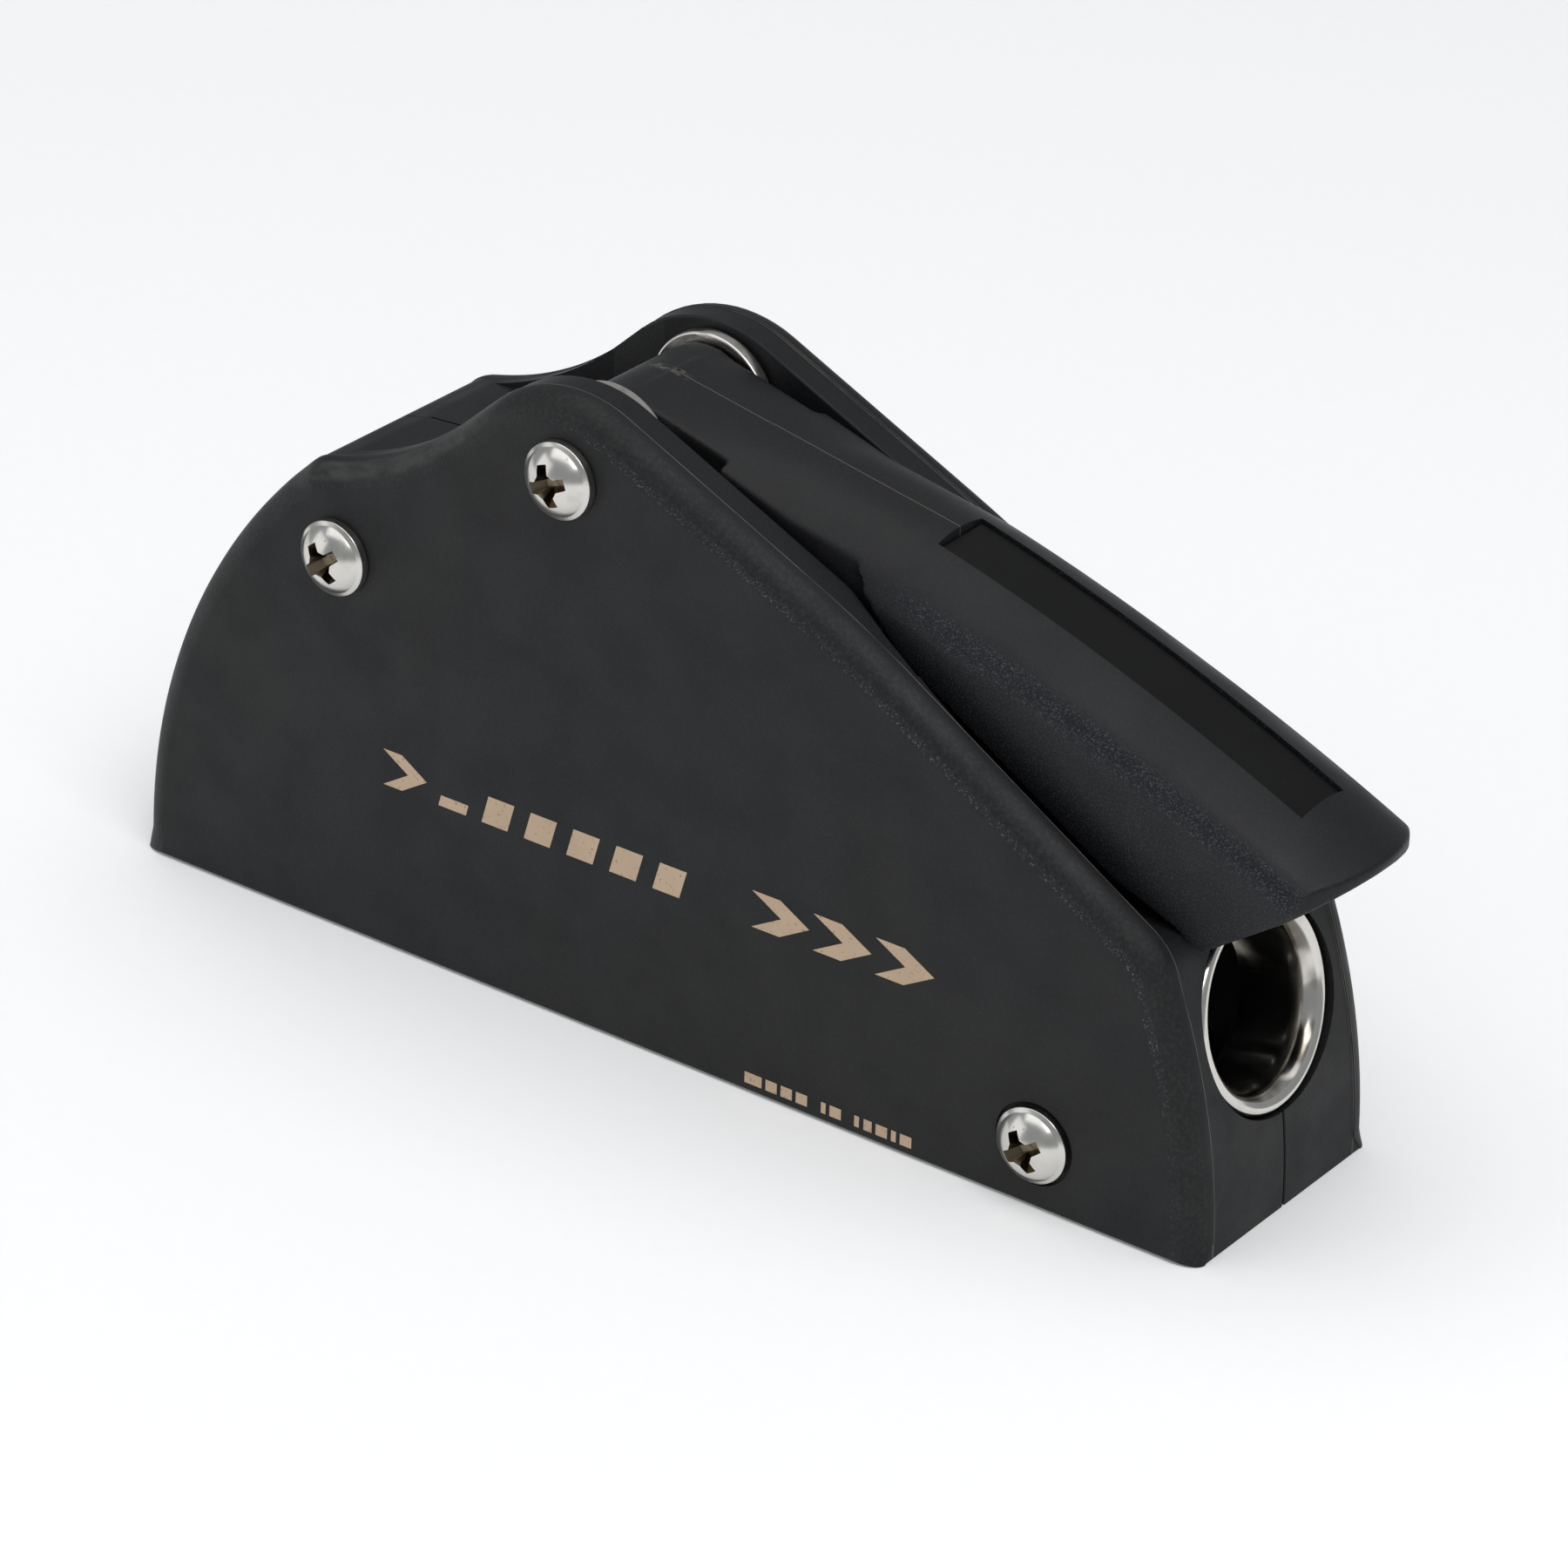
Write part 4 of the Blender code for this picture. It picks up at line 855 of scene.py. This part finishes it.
def trumpet_lip(bead_steps=18, flare_steps=20):
    """Profile over the ring's outer bead and on down its flare, in one smooth line."""
    bead = (FAIRLEAD_RADIUS - BEAD_RADIUS, BEAD_HEIGHT)
    flare = polar(bead, BEAD_RADIUS - FLARE_RADIUS, math.radians(BEAD_END))
    return (arc(bead, BEAD_RADIUS, 0, BEAD_END, bead_steps)
            + arc(flare, FLARE_RADIUS, BEAD_END, FLARE_END, flare_steps)[1:])


def cross_recess(name):
    """Cross recess cutter that opens at z = 0: two tapered arm pairs and a tapered middle."""
    arms = []
    for k in range(2):
        shape = bmesh.new()
        bmesh.ops.create_cube(shape, size=1)
        for vert in shape.verts:
            length, width, height = RECESS_FLOOR if vert.co.z < 0 else RECESS_MOUTH
            vert.co = (vert.co.x * length, vert.co.y * width, height)
        bmesh.ops.rotate(shape, verts=shape.verts, matrix=Matrix.Rotation(math.pi / 2 * k, 3, 'Z'))
        arms.append(place_shape(name, shape))
    middle = [mm(0, 0.6), mm(2.1, 0.6), mm(0.9, -2.1), mm(0, -2.5)]
    arms.append(turned(name + "_middle", middle, Matrix.Rotation(math.radians(22.5), 4, 'Z'), 8))
    return carve(arms[0], arms[1:], 'UNION')


def pan_head_screw(name, at, side, turn):
    """M5 cross-recessed pan head screw seen from outside, with its shank pointing inwards."""
    sunk = SPOT_FACE_DEPTH if at is FRONT_SCREW else 0
    seat = HALF_WIDTH - sunk + HEAD_CLEARANCE
    dome = arc((0, HEAD_HEIGHT - DOME_RADIUS), DOME_RADIUS, 36, 88, 20)
    rim, chamfer = mm(0.25, 0.12)
    shoulder = arc((HEAD_RADIUS - rim, HEAD_RIM), rim, 0, 40, 4)
    foot = [(HEAD_RADIUS, chamfer), (HEAD_RADIUS - chamfer, 0)]
    thread = []
    for k in range(int(SCREW_REACH / THREAD_PITCH)):
        thread += [(THREAD_RADIUS, -k * THREAD_PITCH),
                   (THREAD_RADIUS - THREAD_DEPTH, -(k + 0.5) * THREAD_PITCH)]
    profile = [(0, HEAD_HEIGHT)] + dome[::-1] + shoulder[::-1] + foot + thread + [(0, -SCREW_REACH)]
    screw = turned(name, profile, along_y(*at, y=side * seat, side=side), 72)
    recess = cross_recess(name + "_recess")
    spin = Matrix.Rotation(math.radians(turn), 4, 'Z')
    recess.matrix_world = along_y(*at, y=side * (seat + HEAD_HEIGHT), side=side) @ spin
    screw = carve(screw, [recess])
    mark_recess(screw, at, side, seat)
    finish_piece(screw, "polished_steel", "body", name, sharp=32)


def mark_recess(screw, at, side, seat):
    """Flag the faces inside the cross recess, near the axis and under the dome, to be painted dark brown:
    partly dirt, partly painted shade of the recess.
    """
    reach, under_dome, above_seat = mm(3.2, 0.12, 0.2)
    grime_and_shade = screw.data.attributes.new("grime_and_shade", 'FLOAT', 'CORNER')
    dome_centre = Vector((at[0], side * (seat + HEAD_HEIGHT - DOME_RADIUS), at[1]))
    for face in screw.data.polygons:
        from_axis = math.hypot(face.center.x - at[0], face.center.z - at[1])
        sunk = DOME_RADIUS - (face.center - dome_centre).length > under_dome
        inside = sunk and from_axis < reach and abs(face.center.y) > seat + above_seat
        for corner in face.loop_indices:
            grime_and_shade.data[corner].value = 1.0 if inside else 0.0


def jaw_plate():
    """Fixed lower jaw: a block with a V groove and cross serrations."""
    outline = [(JAW_X[0], FLOOR_TOP + GAP), (JAW_X[1], FLOOR_TOP + GAP)]
    teeth = int(round((JAW_X[1] - JAW_X[0]) / JAW_PITCH))
    for k in range(teeth):
        x = JAW_X[1] - k * JAW_PITCH
        outline += [(x, JAW_TOP), (x - 0.25 * JAW_PITCH, JAW_TOP - JAW_TOOTH_DEPTH)]
    outline.append((JAW_X[0], JAW_TOP))
    jaw = carve(plate("jaw_plate", outline, -JAW_HALF_WIDTH, JAW_HALF_WIDTH), [v_groove_cutter()])
    finish_piece(jaw, "machined_steel", "body", "jaw_plate")


def v_groove_cutter():
    """Three-sided bar lying point down along X."""
    section = [(-JAW_GROOVE_HALF_WIDTH, JAW_TOP + GAP), (JAW_GROOVE_HALF_WIDTH, JAW_TOP + GAP),
               (0, JAW_TOP - JAW_GROOVE_DEPTH)]
    ends = (JAW_X[0] - 2 * MM, JAW_X[1] + 2 * MM)
    return loft("jaw_groove", [[(x, y, z) for y, z in section] for x in ends])


def cam_spring():
    """Hairpin spring wound on the rear sleeve, one leg on the rear wall and one on the cam's back."""
    start_angle = math.radians(-62)
    end_angle = math.radians(-84) + 2 * math.pi * SPRING_TURNS
    count = int(40 * (end_angle - start_angle) / (2 * math.pi))
    width = SPRING_PITCH * SPRING_TURNS
    coil = []
    for i in range(count + 1):
        share = i / count
        x, z = polar(REAR_SCREW, SPRING_COIL_RADIUS, start_angle + (end_angle - start_angle) * share)
        coil.append((x, width * (share - 0.5), z))
    wall_leg = leg_points(coil[0], start_angle - math.pi / 2, WALL_LEG)
    cam_leg = leg_points(coil[-1], end_angle + math.pi / 2, CAM_LEG)
    wire = place_curve("cam_spring_wire", wall_leg[::-1] + coil + cam_leg, '3D')
    wire.data.bevel_depth = SPRING_WIRE
    wire.data.bevel_resolution = 4
    wire.data.use_fill_caps = True
    finish_piece(solid_from(wire, "cam_spring"), "spring_steel", "body", "cam_spring")


def leg_points(start, angle, length):
    """A straight spring leg leaving a coil end at an angle in the XZ plane."""
    run = Vector((math.cos(angle), 0, math.sin(angle)))
    return [tuple(Vector(start) + run * length * k / 2) for k in (1, 2)]


# --- handle

def crest(x):
    """Height of the handle's centre line along its top."""
    if x < GRIP_START[0]:
        return GRIP_START[1] + NECK_SLOPE * (x - GRIP_START[0])
    run = x - GRIP_START[0]
    return GRIP_START[1] + GRIP_SLOPE * run + GRIP_BEND * run * run


def crown_section(half_width, crown, shoulder):
    """Right half of an arched section: (y, drop) from the middle to the foot of the shoulder."""
    shoulder_y = half_width - shoulder
    centre_drop = crown - math.sqrt((crown - shoulder) ** 2 - shoulder_y ** 2)
    lean = math.asin(shoulder_y / (crown - shoulder))
    angles = [lean * k / CROWN_STEPS for k in range(CROWN_STEPS)]
    top = [(crown * math.sin(angle), crown - crown * math.cos(angle)) for angle in angles]
    turn = math.pi / 2 - lean
    for k in range(SHOULDER_STEPS + 1):
        angle = lean + turn * k / SHOULDER_STEPS
        top.append((shoulder_y + shoulder * math.sin(angle), centre_drop - shoulder * math.cos(angle)))
    return top


def crown_radius(x):
    """The crown is nearly flat at the hub, tightest on the neck and a little flatter on the grip."""
    if x < GRIP_CROWN_X[0]:
        start, end, before, after = AXLE[0], NECK_CROWN_X, HUB_CROWN_RADIUS, NECK_CROWN_RADIUS
    else:
        start, end, before, after = GRIP_CROWN_X[0], GRIP_CROWN_X[1], NECK_CROWN_RADIUS, GRIP_CROWN_RADIUS
    share = min(1.0, max(0.0, (x - start) / (end - start)))
    return 1 / (share / after + (1 - share) / before)


def arched_block(name, x_range, half_width, shoulder, bottom, steps, inset=0.0):
    """Block along X with an arched top and straight sides, all moved in by inset."""
    low, high = x_range
    side_y = half_width - inset
    corner = max(shoulder - inset, 0.3 * MM)
    stations = []
    for k in range(steps + 1):
        x = low + (high - low) * k / steps
        top = crest(x) - inset
        half = [(y, top - drop) for y, drop in crown_section(side_y, crown_radius(x) - inset, corner)]
        half.append((side_y, bottom))
        stations.append([(x, y, z) for y, z in half] + [(x, -y, z) for y, z in half[:0:-1]])
    return loft(name, stations)


def grip_side_outline():
    """Side view of the grip below its arched back: its lower edge follows the shell's slope."""
    behind, heel_z = GRIP_STEP_X - 6 * MM, 70.1 * MM
    skirt = [(x, z, 4 * MM) for x, z in SKIRT_KNEES]
    return rounded([(behind, ABOVE, 0), (behind, heel_z, 0), (25.4 * MM, heel_z, 0),
                    mm(26.1, 68, 2), (*SKIRT_START, 2 * MM), *skirt, (*SKIRT_END, 1.2 * MM),
                    (TIP_X, TIP_EDGE_Z, 0), (TIP_X + 5 * MM, ABOVE, 0)], 6)


def neck_side_outline():
    """Side view of the neck, from the hub to inside the grip."""
    end_x, end_z = 60 * MM, 62.5 * MM
    return [(AXLE[0], ABOVE), (AXLE[0], 69 * MM), (NECK_STEP_X, 67 * MM), (27 * MM, end_z), (end_x, end_z),
            (end_x, ABOVE)]


def grip_plan_outline():
    """Plan view of the grip: slanted rear faces beside the neck and a round tip."""
    nose = arc((TIP_X - TIP_PLAN_RADIUS, 0), TIP_PLAN_RADIUS, -70, 70, 48)
    wide = 20 * MM
    slant = 1.35 * MM / (GRIP_HALF_WIDTH - NECK_HALF_WIDTH)
    rear_x = 24.1 * MM
    rear_wide_x = rear_x + slant * (wide - NECK_HALF_WIDTH)
    inner = NECK_HALF_WIDTH - 1 * MM
    rear_inner_x = rear_x - slant * 1 * MM
    rear = [(rear_wide_x, wide), (rear_inner_x, inner), (rear_inner_x, -inner), (rear_wide_x, -wide)]
    return rear + [(nose[0][0], -wide)] + nose + [(nose[-1][0], wide)]


def handle_body():
    """Neck and hollow grip in one moulding, with a two-eared hub and softly moulded edges."""
    low = 30 * MM
    grip = arched_block("handle", (GRIP_STEP_X - 4 * MM, TIP_X + 2 * MM), GRIP_HALF_WIDTH,
                        GRIP_SHOULDER_RADIUS, low, 56)
    grip = carve(grip, [plate("grip_side", grip_side_outline(), -BEYOND, BEYOND)], 'INTERSECT')
    grip = carve(grip, [plan_prism("grip_plan", grip_plan_outline(), 0, ABOVE + 10 * MM)], 'INTERSECT')
    hollow = arched_block("grip_hollow", (GRIP_STEP_X + 3 * MM, TIP_X + 6 * MM), GRIP_HALF_WIDTH,
                          GRIP_SHOULDER_RADIUS, 20 * MM, 40, inset=GRIP_WALL)
    grip = carve(grip, [hollow])
    neck = arched_block("neck", (NECK_STEP_X, GRIP_STEP_X + GRIP_WALL), NECK_HALF_WIDTH, 0.8 * MM, low, 16,
                        inset=0.02 * MM)
    root = arched_block("neck_root", (AXLE[0] + 1.4 * MM, NECK_STEP_X + 2 * MM), HUB_HALF_WIDTH, 0.5 * MM,
                        low, 10, inset=0.1 * MM)
    side = plate("neck_side", neck_side_outline(), -BEYOND, BEYOND)
    neck = carve(neck, [side], 'INTERSECT', keep=True)
    root = carve(root, [side], 'INTERSECT')
    ears = hull_of_circles(AXLE, HUB_RADIUS, CAM_PIN, EAR_RADIUS)
    hub = plate("hub_ears", ears, -HUB_HALF_WIDTH, HUB_HALF_WIDTH)
    handle = carve(grip, [neck, root, hub], 'UNION')
    slot = plate("cam_slot", cam_slot_outline(), -CAM_SLOT_HALF_WIDTH, CAM_SLOT_HALF_WIDTH)
    bores = [cutter_rod("hub_bore", AXLE, HUB_BUSH_RADIUS + GAP),
             cutter_rod("crank_pin_bore", CAM_PIN, CAM_PIN_RADIUS + GAP)]
    handle = carve(handle, [slot] + bores)
    skin = handle.modifiers.new("skin", 'REMESH')
    skin.mode = 'VOXEL'
    skin.voxel_size = MOULD_VOXEL
    soften = handle.modifiers.new("soften", 'SMOOTH')
    soften.factor = 0.5
    soften.iterations = 5
    handle = carve(handle, [label_strip("label_pocket", GAP, LABEL_BOTTOM - GAP, 4 * MM)])
    finish_piece(handle, "handle_composite", "handle", "handle", sharp=40)


def cam_slot_outline():
    """Gap between the ears that clears the cam's hub and the swing of its arm."""
    reach = 9.5 * MM
    swing = arc(CAM_PIN, reach, 20, 175, 24)
    low = 40 * MM
    rear_x = CAM_PIN[0] - 16 * MM
    return swing + [(rear_x, CAM_PIN[1]), (rear_x, low), (CAM_PIN[0] + reach, low)]


def label_strip(name, grow, z_low, z_high):
    """A strip that follows the crest, sunk below it between two depths."""
    stations = []
    width = LABEL_HALF_WIDTH + grow
    corners = ((-width, z_low), (width, z_low), (width, z_high), (-width, z_high))
    for k in range(LABEL_STEPS + 1):
        x = LABEL_X[0] - grow + (LABEL_X[1] - LABEL_X[0] + 2 * grow) * k / LABEL_STEPS
        stations.append([(x, y, crest(x) + z) for y, z in corners])
    return loft(name, stations)


def handle_label():
    strip = label_strip("handle_label", 0, LABEL_BOTTOM, LABEL_TOP)
    finish_piece(strip, "label_film", "handle", "handle_label")


def crank_plate(name, side):
    """Stainless disc beside the hub, with a lobe that carries the cam pin and rounded rims."""
    low, high = sorted(side * y for y in CRANK_PLATE_Y)
    outline = hull_of_circles(AXLE, CRANK_DISC_RADIUS, CAM_PIN, CRANK_LOBE_RADIUS, 64)
    disc = plate(name, outline, low, high, edge=0.3 * MM)
    bores = [cutter_rod(name + "_axle_bore", AXLE, SLEEVE_RADIUS + GAP),
             cutter_rod(name + "_pin_bore", CAM_PIN, CAM_PIN_RADIUS + GAP)]
    finish_piece(carve(disc, bores), "machined_steel", "handle", name)


# --- cam

def from_pin(x, z):
    """A point x and z millimetres from the cam pin."""
    return (CAM_PIN[0] + x * MM, CAM_PIN[1] + z * MM)


def cam_outline():
    """Hub, arm and serrated face; the face's centre is offset so that it wedges."""
    start, end = -120, -58
    face = []
    for k in range(CAM_TEETH + 1):
        angle = start + (end - start) * k / CAM_TEETH
        face.append(polar(CAM_FACE_CENTRE, CAM_FACE_RADIUS, math.radians(angle)))
        if k < CAM_TEETH:
            valley = math.radians(angle + 0.75 * (end - start) / CAM_TEETH)
            face.append(polar(CAM_FACE_CENTRE, CAM_FACE_RADIUS - CAM_TOOTH_DEPTH, valley))
    hub = arc(CAM_PIN, CAM_HUB_RADIUS, -20, 190, 40)
    return face + [from_pin(22, -27), from_pin(9, -14)] + hub + [from_pin(-8, -26)]


def cam():
    block = plate("cam", cam_outline(), -CAM_SHOE_HALF_WIDTH, CAM_SHOE_HALF_WIDTH)
    clear = [from_pin(-20, -17), from_pin(30, -17), from_pin(30, 20), from_pin(-20, 20)]
    tools = []
    for side in (-1, 1):
        low, high = sorted((side * CAM_HUB_HALF_WIDTH, side * BEYOND))
        tools.append(plate("cam_shoulder", clear, low, high))
    rim = CAM_FACE_RADIUS + 0.8 * MM
    section = [(rim, CAM_GROOVE_HALF_WIDTH), (rim, -CAM_GROOVE_HALF_WIDTH),
               (CAM_FACE_RADIUS - CAM_GROOVE_DEPTH, 0)]
    tools.append(turned("cam_groove", section, along_y(*CAM_FACE_CENTRE), 144, closed=True))
    tools.append(cutter_rod("cam_bore", CAM_PIN, CAM_BUSH_RADIUS + GAP))
    finish_piece(carve(block, tools), "cast_steel", "cam", "cam")


# --- assembly

def build_fixed_pieces():
    tools = shell_cutters()
    half_shell("shell_near", -1, tools)
    half_shell("shell_far", 1, tools)
    discard(tools)
    printed_marks()
    fairlead("front_fairlead", FRONT_FAIRLEAD)
    fairlead("rear_fairlead", REAR_FAIRLEAD)
    turns = {"axle": (AXLE, 20, 65), "rear": (REAR_SCREW, 38, 10), "front": (FRONT_SCREW, 33, 80)}
    for label, (at, near_turn, far_turn) in turns.items():
        pan_head_screw(label + "_screw_near", at, -1, near_turn)
        pan_head_screw(label + "_screw_far", at, 1, far_turn)
    jaw_plate()
    cam_spring()


def build_moving_pieces():
    handle_body()
    handle_label()
    crank_plate("crank_plate_near", -1)
    crank_plate("crank_plate_far", 1)
    cam()


def dress_kept_nodes():
    """Give the CAD nodes that stay a procedural material."""
    kept = {"machined_steel": ("axle_sleeve", "rear_sleeve", "front_sleeve", "cam_pin") + INSERT_NODES,
            "acetal": ("hub_bush_near", "hub_bush_far"), "bush_bronze": ("cam_bush_near", "cam_bush_far")}
    for finish, nodes in kept.items():
        for node in nodes:
            for material_slot in frame["nodes"][node].material_slots:
                material_slot.material = FINISHES[finish]


# --- studio

def build_floor():
    """Plain floor just below the base, so that the two faces don't fight."""
    shape = bmesh.new()
    bmesh.ops.create_grid(shape, x_segments=8, y_segments=8, size=FLOOR_HALF_SIZE)
    bmesh.ops.translate(shape, verts=shape.verts, vec=(0, 0, -FLOOR_DROP))
    floor = place_shape("studio_floor", shape)
    floor.data.materials.append(FINISHES["pale_floor"])


def direction(azimuth, elevation):
    """Unit vector away from the object; azimuth 0 is the near side, and 90 degrees is +X."""
    return Vector((math.sin(azimuth) * math.cos(elevation), -math.cos(azimuth) * math.cos(elevation),
                   math.sin(elevation)))


def softbox(name, angles, distance, size, power):
    """Rectangular soft light at an azimuth and elevation in degrees, aimed at the object."""
    away = direction(*(math.radians(angle) for angle in angles))
    data = bpy.data.lights.new(name, 'AREA')
    data.shape = 'RECTANGLE'
    data.size, data.size_y = size
    data.energy = power
    lamp = place(name, data)
    lamp.location = AIM + away * distance
    lamp.rotation_euler = away.to_track_quat('Z', 'Y').to_euler()


def build_world():
    world = bpy.data.worlds.new("studio")
    SCENE.world = world
    world.use_nodes = True
    back = world.node_tree.nodes["Background"]
    back.inputs["Color"].default_value = (0.93, 0.96, 1.0, 1)
    back.inputs["Strength"].default_value = 0.35


def build_camera():
    """The photograph's viewing angle: from the near side, ahead and above."""
    azimuth, elevation, roll = (math.radians(angle) for angle in CAMERA_ANGLES)
    back = direction(azimuth, elevation)
    right = Vector((math.cos(azimuth), math.sin(azimuth), 0))
    up = back.cross(right)
    across = right * math.cos(roll) + up * math.sin(roll)
    upward = up * math.cos(roll) - right * math.sin(roll)
    data = bpy.data.cameras.new("camera")
    data.sensor_width = 36.0
    data.lens = CAMERA_LENS
    data.clip_start = 0.01
    camera = place("camera", data)
    turn = Matrix((across, upward, back)).transposed().to_4x4()
    camera.matrix_world = Matrix.Translation(AIM + back * CAMERA_DISTANCE) @ turn
    SCENE.camera = camera


build_camera()
build_fixed_pieces()
build_moving_pieces()
dress_kept_nodes()
build_floor()
build_world()
softbox("overhead", (0, 84), 1.5, (2.4, 2.0), 16)
softbox("key", (58, 50), 1.0, (0.5, 0.4), 2.3)
softbox("side_fill", (-48, 18), 1.2, (0.9, 0.7), 1.5)
SCENE.view_settings.view_transform = 'Standard'
SCENE.view_settings.look = 'None'
